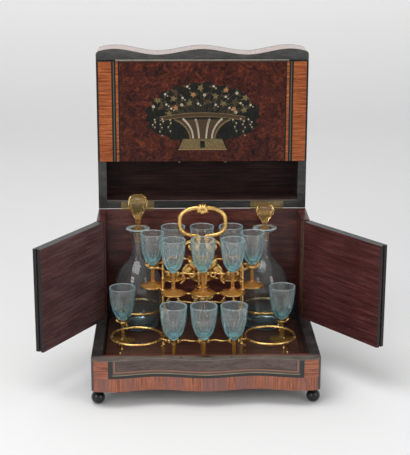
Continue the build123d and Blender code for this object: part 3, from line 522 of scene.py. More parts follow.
# Each finish with its width of rounded edge in millimetres and the nodes that have it
FINISHES = (
    (flap_finish, 0.5, "flap_panel"),
    (lid_finish, 0.3, "lid_top_board"),
    (base_finish, 0.8, "base_front_rail"),
    (rear_rail_finish_and_sheen(*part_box("lid_back_rail")), 0.3, "lid_back_rail"),
    (ebony, 0.8, "base_left_rail base_right_rail base_back_rail"),
    (ebony, 0.6, "lid_left_rail lid_right_rail"),
    (lid_ebony, 0.6, "lid_front_rail"),
    (rosewood, 0.4, "back_panel left_return right_return"),
    (lining_wood, 0, "lid_lining_panel"),
    (mahogany, 0.3, "base_floor_board carrier_board"),
    (lip_wood, 0, "tray_lip_strip"),
    (foot_black, 0, "ball_feet"),
    (dull_brass, 0.15, "flap_hinge_lid_leaf_and_pin flap_hinge_flap_leaf"),
    (brass, 0.15, "strike_plate keyhole_escutcheon lock_case lock_bolt flap_locating_pins"),
    (brass, 0.15, "left_return_hinge_leaf right_return_hinge_leaf left_door_hinge_leaf_and_pin"),
    (brass, 0.15, "right_door_hinge_leaf_and_pin lid_hinge_case_leaves_and_pins lid_hinge_lid_leaves"),
    # The left door's inner tones carry a painted sheen
    (door_material("left_door_panel", -1, LEFT_DOOR_INSIDE_SHEEN), 0.5, "left_door_panel"),
    (door_material("right_door_panel", 1, RIGHT_DOOR_INSIDE), 0.5, "right_door_panel"),
)
for material, edge, names in FINISHES:
    for name in names.split():
        dress(nodes[name], material, edge)


# The basket of flowers let into the flap, in millimetres from the flap's middle and its lower edge.

INLAYS = {"ground": 0, "brass": 1, "wicker": 2, "pearl": 3, "blush": 4, "leaf_green": 5}
SUNK = 0.1
GROUND_HALF_WIDTH = 87
GROUND_MIDDLE = 71
GROUND_ABOVE = (52, 1.9)
GROUND_BELOW = (40, 2.3)
BASKET_FOOT = 18
BASKET_TOP = 35.5
BASKET_RIM = 80
KEYHOLE_HALF = 3.6
KEYHOLE_LOW = 21.4
KEYHOLE_HIGH = 32.4
STAVES = ((5.6, 6.4, 10.5, 65.5), (14.6, 15.4, 29.5, 66.5))
SPRIGS = ((64, 41, 6), (51, 48, 4), (75, 54, 4))
FLOWERS = 34


def flat_inlay(bm, outline, proud, kind):
    """A thin flat inlay, whose face is slightly proud of the flap and whose edge goes into the veneer."""
    front, back = ([bm.verts.new((x * MM, flap_low.y + depth * MM, flap_low.z + z * MM)) for x, z in outline]
                   for depth in (-proud, SUNK))
    faces = [bm.faces.new(front)]
    for i in range(len(front)):
        j = (i + 1) % len(front)
        faces.append(bm.faces.new((front[i], back[i], back[j], front[j])))
    for face in faces:
        face.material_index = INLAYS[kind]


def disc(bm, x, z, radius, proud, kind, sides=8):
    angles = [tau * k / sides for k in range(sides)]
    flat_inlay(bm, [(x + radius * cos(angle), z + radius * sin(angle)) for angle in angles], proud, kind)


def star(bm, x, z, radius, turn, kind, waist=0.48):
    """A five-pointed flower."""
    outline = []
    for k in range(10):
        r = radius * (1 if k % 2 == 0 else waist)
        angle = radians(turn) + pi * k / 5
        outline.append((x + r * cos(angle), z + r * sin(angle)))
    flat_inlay(bm, outline, 0.16, kind)


def blade(bm, x, z, length, width, turn, proud, kind):
    """A pointed leaf that starts at x, z and lies along a heading."""
    along = Vector((cos(radians(turn)), sin(radians(turn))))
    across = Vector((-sin(radians(turn)), cos(radians(turn))))
    outline = []
    for edge, shares in ((1, (0, 0.2, 0.4, 0.6, 0.8, 1)), (-1, (0.8, 0.6, 0.4, 0.2))):
        for s in shares:
            spot = along * (length * s) + across * (edge * (width / 2 * sin(pi * s**0.8)))
            outline.append((x + spot.x, z + spot.y))
    flat_inlay(bm, outline, proud, kind)


def band(bm, path, width, proud, kind):
    """A strip of even width along (x, z) points."""
    path = [Vector(point) for point in path]
    left, right = [], []
    for i, point in enumerate(path):
        run = (path[min(i + 1, len(path) - 1)] - path[max(i - 1, 0)]).normalized()
        across = Vector((-run.y, run.x)) * (width / 2)
        left.append(tuple(point + across))
        right.append(tuple(point - across))
    flat_inlay(bm, left + right[::-1], proud, kind)


def arc_points(start, bulge, end, count):
    """Points of a curve that leaves start, passes towards bulge and ends at end."""
    start, bulge, end = Vector(start), Vector(bulge), Vector(end)
    shares = (k / count for k in range(count + 1))
    return [start * (1 - t)**2 + bulge * (2 * t * (1 - t)) + end * t**2 for t in shares]


def basket_ground(bm):
    """The black oval with a lobed edge, and the black line round the basket's foot."""
    ground = []
    for k in range(120):
        angle = tau * k / 120
        tall, bend = GROUND_ABOVE if sin(angle) > 0 else GROUND_BELOW
        lobe = 1 + 0.03 * cos(21 * angle + 0.9) + 0.02 * sin(9 * angle)
        square = squared(angle, bend)
        ground.append((GROUND_HALF_WIDTH * cos(angle) * lobe * square,
                       GROUND_MIDDLE + tall * sin(angle) * lobe * square))
    flat_inlay(bm, ground, 0.04, "ground")
    flat_inlay(bm, [(-40, BASKET_FOOT - 1.5), (40, BASKET_FOOT - 1.5),
                    (33, BASKET_TOP + 2), (-33, BASKET_TOP + 2)],
               0.05, "ground")


def basket_body(bm):
    """Wicker sides with staves of pearl discs, over a brass foot with a keyhole."""
    side = arc_points((18.5, BASKET_TOP), (21, 56), (43, 66), 10)
    flat_inlay(bm, [tuple(p) for p in side] + [(-p.x, p.y) for p in reversed(side)], 0.09, "wicker")
    for sign in (-1, 1):
        band(bm, [(p.x * sign, p.y) for p in side], 2.2, 0.12, "brass")
        foot = ((KEYHOLE_HALF, BASKET_FOOT), (37.5, BASKET_FOOT),
                (30, BASKET_TOP), (KEYHOLE_HALF, BASKET_TOP))
        flat_inlay(bm, [(sign * x, z) for x, z in foot], 0.12, "brass")
        for root_x, bulge_x, top_x, top in STAVES:
            stave = arc_points((root_x, 37.5), (bulge_x, 54), (top_x, top), 13)
            for k, spot in enumerate(stave):
                disc(bm, spot.x * sign, spot.y, 1.5 + 0.02 * k, 0.2, "pearl")
    for low, high in ((BASKET_FOOT, KEYHOLE_LOW), (KEYHOLE_HIGH, BASKET_TOP)):
        flat_inlay(bm, [(-KEYHOLE_HALF, low), (KEYHOLE_HALF, low),
                        (KEYHOLE_HALF, high), (-KEYHOLE_HALF, high)],
                   0.12, "brass")
    band(bm, [(-37.8, BASKET_FOOT + 0.5), (37.8, BASKET_FOOT + 0.5)], 1.2, 0.2, "blush")
    rim = arc_points((-66, 67), (0, BASKET_RIM), (66, 67), 20)
    band(bm, rim, 5.6, 0.15, "wicker")
    for shift in (3, -3):
        band(bm, [p + Vector((0, shift)) for p in rim], 1, 0.2, "brass")


def bouquet(bm):
    """Stems, leaves, stars, blossoms and berries that fan out over the rim."""
    for k in range(FLOWERS):
        reach = (0.45, 0.72, 1)[k % 3]
        angle = pi * (0.02 + 0.96 * (k + 0.5) / FLOWERS)
        x = 77 * reach**0.5 * cos(angle)
        z = 72 + 45 * reach * (0.16 + 0.84 * sin(angle)) + 2 * sin(5.1 * k)
        band(bm, arc_points((x * 0.45, 74), (x * 0.7, z - 6), (x, z), 6), 0.6, 0.08, "leaf_green")
        for turn in (24, 156):
            blade(bm, x, z, 8.4, 3.6, turn + 37 * k, 0.11, "leaf_green" if k % 2 else "wicker")
        if k % 4 == 1:
            star(bm, x, z, 5.6, 29 * k, "brass")
        elif k % 4 == 3:
            star(bm, x, z, 4.6, 41 * k, "blush" if k % 8 == 3 else "wicker", 0.55)
        elif k % 8 == 0:
            for petal in range(5):
                turn = tau * petal / 5 + k
                disc(bm, x + 1.5 * cos(turn), z + 1.5 * sin(turn), 1.1, 0.2, "pearl")
            disc(bm, x, z, 0.9, 0.24, "blush")
        else:
            disc(bm, x, z, 1.8, 0.2, "pearl", 12)
            disc(bm, x + 3.6, z - 2.8, 1, 0.2, "pearl", 10)


def hanging_sprigs(bm):
    """Berries and small leaves that hang over the rim at both sides."""
    for sign in (-1, 1):
        for out, low, count in SPRIGS:
            sprig = arc_points((sign * (out - 6), 70), (sign * (out + 2), 62), (sign * out, low), count * 2)
            band(bm, sprig, 0.6, 0.08, "leaf_green")
            for k, spot in enumerate(sprig[2::2]):
                shift, turn, kind = (1.6, -60, "wicker") if k % 2 else (-1.6, -120, "leaf_green")
                disc(bm, spot.x + shift, spot.y, 1.25 - 0.08 * k, 0.18, "pearl")
                blade(bm, spot.x, spot.y, 5, 2.2, turn, 0.1, kind)


def inlay_finish(name, bright, dull, grain, metallic=0, rough=0.4):
    graph = Graph(name, Metallic=metallic, Specular_IOR_Level=0.08)
    patches = graph.noise(grain, detail=4, roughness=0.65)
    colour = graph.mix(graph.above(patches, 0.5, 0.15), bright, dull)
    graph.bump(graph.noise(grain / 3, detail=2), 0.02)
    return graph.finish(colour, graph.noise(grain * 2), rough - 0.1, rough + 0.1)


basket = bmesh.new()
basket_ground(basket)
basket_body(basket)
bouquet(basket)
hanging_sprigs(basket)
wrap_up("flap_flower_basket", basket, "flap", [
    inlay_finish("inlay_black_ground", (0.008, 0.009, 0.009), (0.018, 0.017, 0.014), 6),
    inlay_finish("inlay_brass", (0.21, 0.155, 0.07), (0.1, 0.075, 0.038), 2.5, metallic=0.35),
    inlay_finish("inlay_wicker", (0.085, 0.052, 0.03), (0.042, 0.026, 0.017), 1.6),
    inlay_finish("inlay_pearl", (0.52, 0.46, 0.36), (0.27, 0.25, 0.2), 1.3, rough=0.25),
    inlay_finish("inlay_blush", (0.36, 0.17, 0.075), (0.24, 0.11, 0.05), 1),
    inlay_finish("inlay_stained_green", (0.045, 0.046, 0.025), (0.085, 0.06, 0.03), 2),
], smooth=False)


# Glassware

PANELS = 8
GLASS_SEGMENTS = PANELS * 6


def panel_cut(angle, height, reach, arch):
    """Radius factor of the cut panels: flat faces below an arched line that fades into a round rim."""
    step = tau / PANELS
    local = (angle % step) - step / 2
    flat = cos(step / 2) / cos(local)
    line = reach - arch * (2 * local / step)**2
    share = min(max((line - height) / (arch * 0.5), 0), 1)
    share = share * share * (3 - 2 * share)
    return 1 - share * (1 - flat)


def glass_piece(node, bowl_finish, foot_radius, bowl_height):
    """A panel-cut bowl over an amber stem and foot."""
    middle, low, high = centre_of(node)
    base = Vector((middle.x, middle.y, low.z))
    rim = (high.x - low.x) / 2 / MM
    tall = (high.z - low.z) / MM
    root = tall - bowl_height
    foot = curve_profile([
        (foot_radius - 0.5, 0), (foot_radius, 0.6), (foot_radius - 0.6, 1.3), (foot_radius * 0.62, 2.1),
        (foot_radius * 0.36, 3.2), (4.2, 5.2), (3.1, 8), (2.7, 13), (2.8, root - 8.5), (4.1, root - 6.6),
        (2.9, root - 4.6), (3.4, root - 1.6), (4.6, root)], 3)
    bowl = curve_profile([
        (4.6, root), (rim * 0.44, root + 3.2), (rim * 0.64, root + 9), (rim * 0.81, root + 18.5),
        (rim * 0.915, root + 29.5), (rim * 0.975, tall - 9), (rim - 0.1, tall - 0.7), (rim - 0.5, tall)], 3)
    hollow = curve_profile([
        (rim - 1.1, tall - 0.35), (rim * 0.975 - 1.3, tall - 9), (rim * 0.915 - 1.7, root + 29.5),
        (rim * 0.81 - 2.4, root + 18.5), (rim * 0.64 - 3.2, root + 10.5), (rim * 0.34, root + 7.2),
        (0.05, root + 6.2)], 3)
    outside = foot + bowl[1:]
    reach, arch = (tall - 11) * MM, 7 * MM

    def section(height):
        """Cut panels over the bowl's root, and a round below it."""
        return lambda angle: panel_cut(angle, height, reach, arch) if height > (root + 1) * MM else 1

    rings = [ring_points(base, radius, height, GLASS_SEGMENTS, section(height)) for radius, height in outside]
    rings += [ring_points(base, radius, height, GLASS_SEGMENTS) for radius, height in hollow]
    bm = bmesh.new()
    loops = skin(bm, rings)
    first, last = len(foot), len(outside) - 4
    for lower, upper in zip(loops[first:last], loops[first + 1:last + 1]):
        for k in range(0, GLASS_SEGMENTS, GLASS_SEGMENTS // PANELS):
            bm.edges.get((lower[k], upper[k])).smooth = False
    change = base.z + (root - 0.5) * MM
    for face in bm.faces:
        face.material_index = 1 if face.calc_center_median().z < change else 0
    wrap_up(f"{node}_cut", bm, node, [bowl_finish, amber], [node])


amber = glass("amber_glass", (0.93, 0.52, 0.12), haze=0.16)
AQUA = (0.2, 0.84, 0.98)
PALE = (0.94, 0.98, 0.975)
for tier, foot_radius, bowl_height in (("upper", 17.5, 49), ("lower", 18, 51.5)):
    names = [name for name in nodes if name.startswith(f"{tier}_glass_") and name in frame["bodies"]]
    rim_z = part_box(names[0])[1].z
    root_z = rim_z - bowl_height * MM
    # The painted rim highlight starts 0.6 mm below the rim
    bowl_finish = glass(f"{tier}_bowl_glass", PALE, AQUA, root_z, root_z + 0.5 * bowl_height * MM, haze=0.03,
                        glow=0.7, rim=rim_z - 0.6 * MM)
    for name in sorted(names):
        glass_piece(name, bowl_finish, foot_radius, bowl_height)


def decanter_piece(node):
    middle, low, high = centre_of(node)
    belly = (high.x - low.x) / 2 / MM
    outer = curve_profile([
        (0.05, 1.6), (22, 1.2), (26, 0), (28.6, 0.5), (29.6, 3), (32.6, 20), (34.2, 31),
        (belly - 0.7, 50), (belly - 0.05, 66), (belly - 2.6, 80), (29, 92.5), (20.6, 102.5),
        (14.2, 109), (11, 116), (10.2, 126), (10, 140), (10.3, 150), (12, 154),
        (17, 156.8), (18.55, 158.4), (17.8, 159.8), (13.8, 160), (9.2, 158.2)], 3)
    inner = curve_profile([
        (7.5, 156), (7.4, 140), (7.5, 126), (8.4, 116), (11.8, 108.5), (18.6, 101.6), (26.8, 91.4),
        (belly - 4.8, 79), (belly - 2.3, 66), (belly - 2.9, 50), (31.8, 31), (30, 20),
        (26, 9.5), (12, 8), (0.05, 7.6)], 3)
    bm = bmesh.new()
    lathe(bm, Vector((middle.x, middle.y, low.z)), outer + inner, 56)
    wrap_up(f"{node}_blown", bm, node, [decanter_glass], [node])


decanter_low, decanter_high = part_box("decanter_left")
# The decanter's painted highlight starts 1.2 mm below its lip
decanter_glass = glass("decanter_glass", (0.94, 0.975, 0.98), (0.45, 0.86, 0.95), decanter_low.z,
                       decanter_low.z + 22 * MM, haze=0.025, rough=0.01, glow=0.12,
                       rim=decanter_high.z - 1.2 * MM)
for hand in ("left", "right"):
    decanter_piece(f"decanter_{hand}")


def stopper_piece(node):
    """A blown pear with shallow upright flutes, standing on a short collar over its ground plug."""
    middle, low, high = centre_of(node)
    lip = decanter_high.z / MM
    top = high.z / MM
    bottom = low.z / MM
    ball = (high.x - low.x) / 2 / MM
    belly = top - ball * 0.98
    profile = curve_profile([
        (5.4, bottom), (6.2, bottom + 1), (6.4, lip - 1.5), (6, lip + 0.2), (4.6, lip + 1.6),
        (3.6, lip + 3.6), (4.6, lip + (belly - lip) * 0.34), (ball * 0.66, lip + (belly - lip) * 0.66),
        (ball - 0.15, belly), (ball * 0.93, top - ball * 0.42), (ball * 0.62, top - ball * 0.12),
        (ball * 0.22, top - 0.25), (0.05, top)], 4)
    rings = []
    for radius, height in profile:
        share = min(max((height / MM - lip - 4) / 8, 0), 1)
        rings.append(ring_points(Vector((middle.x, middle.y, 0)), radius, height, 48,
                                 lambda angle: 1 - 0.05 * share * (1 + cos(12 * angle)) / 2))
    bm = bmesh.new()
    skin(bm, rings)
    wrap_up(f"{node}_pear", bm, node, [stopper_glass], [node])


STOPPER_TINGE = (0.212, 0.252)
stopper_glass = glass("stopper_glass", (0.99, 0.76, 0.34), (0.95, 0.5, 0.1), *STOPPER_TINGE, haze=0.05,
                      glow=0.22)
for hand in ("left", "right"):
    stopper_piece(f"stopper_{hand}")


# Gilt carrier. Places are read from the frame, in millimetres.

RING_WIRE = 2.2
POST_RADIUS = 2
COLLAR_RADIUS = 8.7
COLLAR_REACH = COLLAR_RADIUS + 0.4
SAUCER_REACH = 18
HANDLE_WIRE = 3.9
handle_low, handle_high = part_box("carry_handle")
posts_low, posts_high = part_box("tier_posts")


def middle_of(node):
    return centre_of(node)[0] / MM


carrier_x, carrier_y = middle_of("carry_handle").xy
low_level = middle_of("lower_glass_holders").z
high_level = middle_of("upper_glass_holders").z
plate_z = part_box("upper_plate_tier")[1].z / MM
low_x = carrier_x - middle_of("lower_glass_front_left").x
low_y = carrier_y - middle_of("lower_glass_front_middle").y
side_x = middle_of("lower_glass_side_right").x - carrier_x
decanter_x, decanter_y = middle_of("decanter_right").xy
ring_x, ring_y = decanter_x - carrier_x, decanter_y - carrier_y
ring_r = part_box("decanter_ring_rear_right")[1].x / MM - decanter_x - RING_WIRE
post_x = (posts_high.x - posts_low.x) / MM / 2 - POST_RADIUS
post_y = (posts_high.y - posts_low.y) / MM / 2 - POST_RADIUS
post_spots = [(carrier_x + side * post_x, carrier_y + end * post_y) for side in (-1, 1) for end in (-1, 1)]
upper_spots = {name.replace("upper_glass_", ""): middle_of(name).xy
               for name in sorted(frame["bodies"]) if name.startswith("upper_glass_")}


def at(x, y, z):
    """A point at a height, this far from the carrier's middle. Millimetres."""
    return Vector((carrier_x + x, carrier_y + y, z))


def gilt_piece(name, bm, node):
    wrap_up(name, bm, "carrier", [gilt], [node])


def headings(angle):
    """Level unit vectors: outward at an angle, and along the ring there."""
    return Vector((cos(angle), sin(angle), 0)), Vector((-sin(angle), cos(angle), 0))


def ring_piece(hand, end):
    """A reeded ring with a slow twist, ribbon ties, and thin legs on small round feet."""
    node = f"decanter_ring_{'front' if end < 0 else 'rear'}_{hand}"
    low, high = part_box(node)
    side = -1 if hand == "left" else 1
    level = high.z - RING_WIRE * MM
    centre = Vector(((carrier_x + side * ring_x) * MM, (carrier_y + end * ring_y) * MM, level))
    bm = bmesh.new()
    path = ring_points(centre, ring_r * MM, 0, 180)
    sweep(bm, path, 1.8 * RING_WIRE, sides=12, closed=True, lobes=3, depth=0.1, turns=20)
    widths = (0.88, 1, 0.94, 0.94, 1, 0.88)
    for k in range(9):
        out, along = headings(tau * (k + 0.5) / 9)
        tie = [centre + (out * ring_r + along * t) * MM for t in (-1.6, -1.1, -0.4, 0.4, 1.1, 1.6)]
        sweep(bm, tie, lambda share: 2 * RING_WIRE * widths[min(round(share * 5), 5)], sides=12)
    tall = (level - low.z) / MM
    leg = curve_profile([(2.6, 0), (2.8, 0.6), (1.8, 1.4), (1.1, 2.4), (1.1, tall * 0.45), (1.7, tall * 0.5),
                         (1.1, tall * 0.55), (1.1, tall - 3.4), (1.8, tall - 2.2), (1, tall - 0.8)], 2)
    for turn in (0, 130, 230):
        out = headings(radians(turn if side < 0 else 180 - turn))[0]
        lathe(bm, Vector((*(centre + out * ring_r * MM).xy, low.z)), leg, 12)
    gilt_piece(f"{node}_reeded", bm, node)


def taper(thick, thin=0.25):
    """Thickness along a scroll: fine at its root, full at the belly, fine at the tip."""
    belly = 0.35
    return lambda share: thick * (thin + (1 - thin) * sin(pi * min(share / (2 * belly), 1) / 2)
                                  * cos(pi / 2 * max((share - belly) / (1 - belly), 0) * 0.85))


def scroll(bm, centre, radius, start, end, tighten, count, thick, knob, sides=8):
    """An upright tapering spiral that ends in a bead. Millimetres and degrees."""
    path = []
    for k in range(count + 1):
        share = k / count
        angle = radians(start + (end - start) * share)
        r = radius * (1 - (1 - tighten) * share)
        path.append(centre * MM + Vector((r * cos(angle) * MM, 0, r * sin(angle) * MM)))
    sweep(bm, path, taper(thick), up=(0, 1, 0), sides=sides)
    bead(bm, path[-1], knob)


def leaf(bm, root, tip, width, lift, bend=0.15):
    """An acanthus-like leaf: a pointed, ribbed blade with lobed edges between two points. Millimetres."""
    section = ((-1, 0), (-0.5, 0.55), (0, 1), (0.5, 0.55), (1, 0), (0.5, -0.6), (0, -0.35), (-0.5, -0.6))
    run = tip - root
    face = Vector(lift).normalized()
    across = run.cross(face).normalized()
    rings = []
    steps = 14
    for k in range(steps + 1):
        s = k / steps
        lobe = 1 + 0.13 * cos(tau * 3.5 * s)
        spread = width / 2 * (sin(pi * min(s * 1.05 + 0.02, 1))**0.55) * lobe + 0.35
        centre = root + run * s + face * (bend * run.length * sin(pi * s))
        thick = 1.3 * (1 - 0.5 * s) + 0.25
        rings.append([(centre + across * (spread * u) + face * (thick * h - 0.22 * spread * u * u)) * MM
                      for u, h in section])
    skin(bm, rings)


def collar(bm, centre, mouth, tall, horn=6.2):
    """An open collar round a stem. Both ends of its mouth curl outward and up into leafy horns."""
    gap = 40
    arc = []
    for k in range(25):
        out = headings(radians(mouth + gap + (360 - 2 * gap) * k / 24))[0]
        arc.append((centre + out * COLLAR_RADIUS) * MM)
    sweep(bm, arc, 2.6, tall)
    for sign in (-1, 1):
        out, along = headings(radians(mouth + sign * gap))
        along *= sign
        root = centre + out * COLLAR_RADIUS
        tip = []
        for k in range(17):
            share = k / 16
            swing = radians(215 * share)
            r = horn * 0.5 * (1 - 0.5 * share)
            lift = Vector((0, 0, 1)) * (horn * 0.45 * share + r * (1 - cos(swing)) * 0.5)
            reach = out * (0.5 * horn * sin(share * pi * 0.6)) + along * (r * sin(swing))
            tip.append((root + reach + lift) * MM)
        sweep(bm, tip, lambda share: 3.6 * (1 - 0.5 * share), sides=8, up=(0.3, 0.2, 1))
        bead(bm, tip[-1], 1.9)
        leaf(bm, root - out * 0.5, root + along * 7 + out * 1.5 + Vector((0, 0, 1)), 4.2, (0, 0, 1), 0.1)


def s_link(bm, a, b, gap_a, gap_b, bow, thick=2.6, tall=2.4):
    """A bar that joins two places and stops short of both, bowed like an S, with a bead at its middle."""
    heading = (b - a).normalized()
    a, b = a + heading * gap_a, b - heading * gap_b
    run = b - a
    across = Vector((-run.y, run.x, 0)).normalized()
    shares = (0, 0.12, 0.25, 0.38, 0.5, 0.62, 0.75, 0.88, 1)
    path = smooth_path([(a + run * t + across * (bow * sin(tau * t))) * MM for t in shares], 3)
    sweep(bm, path, lambda share: thick * (1 - 0.25 * sin(pi * share)), tall)
    bead(bm, (a + run * 0.5) * MM, 2.2, 0.8)


def lower_holders():
    """Collars for eight stems, joined to each other and to the four rings by bars."""
    bm = bmesh.new()
    for end in (-1, 1):
        for x in (-low_x, 0, low_x):
            collar(bm, at(x, end * low_y, low_level), 90 * end, 3, 5.4)
        for side in (-1, 1):
            place = at(side * low_x, end * low_y, low_level)
            s_link(bm, place, at(0, end * low_y, low_level), COLLAR_REACH, COLLAR_REACH, 2.2)
            s_link(bm, place, at(side * ring_x, end * ring_y, low_level), COLLAR_REACH, ring_r, 1)
    for side in (-1, 1):
        place = at(side * side_x, 0, low_level)
        collar(bm, place, 90 - 90 * side, 3, 5.4)
        for end in (-1, 1):
            s_link(bm, place, at(side * ring_x, end * ring_y, low_level), COLLAR_REACH, ring_r, 0.8)
    gilt_piece("lower_holders_scrolled", bm, "lower_glass_holders")


def upper_place(name, z):
    return Vector((*upper_spots[name], z))


def upper_links(bm, z, gap, bow, thick, tall, hub_gap, hub_bow, hub_tall):
    """Bars along both rows, out to the side places where there is room, and in to the hub."""
    for row in ("front", "rear"):
        for hand in ("left", "right"):
            for other in (f"{row}_middle", f"side_{hand}"):
                a, b = upper_place(f"{row}_{hand}", z), upper_place(other, z)
                if (b - a).length > 2 * gap + 1.6:
                    s_link(bm, a, b, gap, gap, bow, thick, tall)
    for row in ("front", "rear"):
        s_link(bm, upper_place(f"{row}_middle", z), at(0, 0, z), gap, hub_gap, hub_bow, thick, hub_tall)


def plates_piece():
    """Eight rimmed saucers for the glasses' feet, joined by bars round a domed hub."""
    saucer = curve_profile([(0.05, -1.5), (15, -1.5), (17.6, -1.2), (18.4, -0.2), (18.5, 0.7), (18, 0.9),
                            (17.7, 0.3), (17.4, -0.05), (12, -0.1), (0.05, -0.1)], 2)
    dome = curve_profile([(0.05, -1.5), (9.5, -1.5), (11, -0.8), (10.4, 0.2), (7.5, 0.8), (5, 2.4),
                          (0.05, 2.8)], 2)
    boss = curve_profile([(2.05, -1.5), (3.4, -1.5), (3.8, -0.6), (3.4, 0.6), (2.6, 1.2), (2.05, 1.4)], 2)
    bm = bmesh.new()
    for name in upper_spots:
        lathe(bm, upper_place(name, plate_z) * MM, saucer, 40)
    upper_links(bm, plate_z - 0.6, SAUCER_REACH, 0.8, 3.4, 2.4, 6, 1, 2.4)
    lathe(bm, at(0, 0, plate_z) * MM, dome, 28)
    for x, y in post_spots:
        lathe(bm, Vector((x, y, plate_z)) * MM, boss, 14)
    for sign in (-1, 1):
        for depth in (-1, 1):
            scroll(bm, at(sign * 12, depth * 3, plate_z - 15), 9, 90, 90 + sign * 300, 0.3, 24, 3.2, 1.8)
    gilt_piece("upper_plates_rimmed", bm, "upper_plate_tier")


def bowed_bar(bm, scale, y, level, spots, thick, steps=5, sides=10):
    """A bar in an upright plane, through (out, rise) spots on one side of the carrier's middle."""
    path = smooth_path([at(scale * out, y, level + rise) * MM for out, rise in spots], steps)
    sweep(bm, path, thick, up=(0, 1, 0), sides=sides)


def scroll_group(bm, sign, depth):
    """One quarter of the casting between the collars: two leaves, three scrolls and a riser to the handle."""
    y, z = depth * 8, high_level
    lift = (sign * 0.15, depth, 0.25)
    leaf(bm, at(sign * 10, y, z - 5), at(sign * 21, y, z + 14), 10, lift)
    bowed_bar(bm, sign, y, z, ((6, -2), (14, 2), (23, -2), (29, -10), (28, -19), (33, -25)), taper(5.6, 0.45))
    leaf(bm, at(sign * 14, y, z + 1), at(sign * 30, y, z - 9), 8, lift)
    scroll(bm, at(sign * 17, y, z - 11), 6.4, 90, 90 + sign * 280, 0.3, 20, 3.8, 2)
    y = depth * 4
    scroll(bm, at(sign * 17.5, y, z + 31), 9, 90 - sign * 85, 90 + sign * 260, 0.25, 26, 5, 2.6, 10)
    bowed_bar(bm, sign, y, z, ((8, 1), (11.5, 13), (10, 24), (8.4, 31)), 3.6, sides=8)


def upper_holders():
    """Collars for eight stems, with the cast leaves and scrolls that rise from the middle to the handle."""
    mouths = {"side_left": 180, "side_right": 0}
    bm = bmesh.new()
    for name, (x, y) in upper_spots.items():
        collar(bm, upper_place(name, high_level), mouths.get(name, 90 if y > carrier_y else -90), 4)
    upper_links(bm, high_level, COLLAR_REACH, 2.4, 3.2, 3.4, 8, 1.2, 3.2)
    boss = curve_profile([(0.05, -1.5), (8, -1.5), (10.6, -0.6), (10.8, 0.6), (8.6, 1.5), (0.05, 1.5)], 2)
    lathe(bm, at(0, 0, high_level) * MM, boss, 28)
    for sign in (-1, 1):
        for depth in (-1, 1):
            scroll_group(bm, sign, depth)
    gilt_piece("upper_holders_scrolled", bm, "upper_glass_holders")


def posts_piece():
    """Four turned posts with small finials, and a baluster column in the middle."""
    floor = posts_low.z
    tall = (posts_high.z - floor) / MM
    thin = POST_RADIUS - 0.1
    post = curve_profile([
        (3.8, 0), (4, 0.8), (2.8, 2), (thin, 4), (thin, tall * 0.3), (2.9, tall * 0.33),
        (3, tall * 0.345), (thin, tall * 0.37), (thin, tall - 27), (thin, tall - 14), (2.9, tall - 12),
        (thin, tall - 10), (thin, tall), (2.9, tall + 3.2), (2.4, tall + 4.6), (1, tall + 5.4),
        (1.8, tall + 6.8), (1.2, tall + 8.4), (0.05, tall + 9.2)], 2)
    column = curve_profile([
        (8, 0), (8.4, 1), (5, 3), (3.4, 6), (3, 14), (4.4, 20), (5.2, 24), (3.2, 30),
        (2.9, 52), (4, 58), (5.6, 66), (4.6, 74), (3.2, 80), (4, 86)], 3)
    bm = bmesh.new()
    for x, y in post_spots:
        lathe(bm, Vector((x * MM, y * MM, floor)), post, 14)
    lathe(bm, Vector((carrier_x * MM, carrier_y * MM, floor)), column, 24)
    gilt_piece("tier_posts_turned", bm, "tier_posts")


def handle_end(bm, root):
    """Where the ring opens: its end curls down into an upright that stands on the plates' hub."""
    x = root.x / MM - carrier_x
    level = root.z / MM
    turns = ((0.62, -0.6), (0.42, -4), (0.62, -7.6), (0.98, -7))
    curl = smooth_path([root] + [at(x * out, 0, level + rise) * MM for out, rise in turns], 5)
    sweep(bm, curl, lambda share: 5.4 - 1.6 * share, up=(0, 1, 0))
    bead(bm, curl[-1], 2.6)
    spots = ((0.52, level - 5), (0.95, level - 14), (1, level - 24), (0.7, plate_z + 24), (0.62, plate_z + 1))
    bowed_bar(bm, x, 0, 0, spots, lambda share: 5.4 - 2 * share, 6)
    for face in (-1, 1):
        leaf(bm, at(x * 0.6, face * 2.2, level - 8), at(x * 1.15, face * 2.2, level - 26), 6.4,
             (0, face, 0), 0.12)


def handle_piece():
    """The lifting ring: a chased oval open at the bottom, with a spray of leaves at its top."""
    half_w = (handle_high.x - handle_low.x) / 2 / MM - HANDLE_WIRE
    half_h = 25.5 - HANDLE_WIRE
    top = handle_high.z / MM - 6
    centre_z = top - half_h
    opening = 14
    path = []
    for k in range(97):
        angle = radians(-90 + opening + (360 - 2 * opening) * k / 96)
        square = squared(angle, 3.1 if sin(angle) < 0 else 2.4)
        path.append(at(half_w * cos(angle) * square, 0, centre_z + half_h * sin(angle) * square) * MM)
    bm = bmesh.new()
    sweep(bm, path, lambda share: 2 * HANDLE_WIRE * (0.8 + 0.12 * sin(pi * share)), up=(0, 1, 0), sides=14,
          lobes=4, depth=0.08, turns=7)
    for k in range(6, 91, 7):
        bead(bm, path[k], HANDLE_WIRE * 0.99, 0.5)
    handle_end(bm, path[-1])
    handle_end(bm, path[0])
    crown = at(0, 0, top - 4)
    ceiling = handle_high.z / MM - 0.5
    spray = [(k * 25, 11 - 0.2 * abs(k), 1.2, 6, 0.3) for k in range(-4, 5)]
    spray += [(180 + k * 34, 6.4, 1.4, 5, 0.35) for k in range(-2, 3)]
    for turn, reach, lean, width, bend in spray:
        direction = Vector((sin(radians(turn)), 0, cos(radians(turn))))
        length = min(reach, (ceiling - crown.z) / max(direction.z, 0.2))
        for face in (-1, 1):
            tip = crown + direction * length + Vector((0, face * lean, 0))
            leaf(bm, crown + Vector((0, face * 1.6, 0)), tip, width, (0, face, 0), bend)
    bead(bm, crown * MM, 5)
    gilt_piece("carry_handle_chased", bm, "carry_handle")


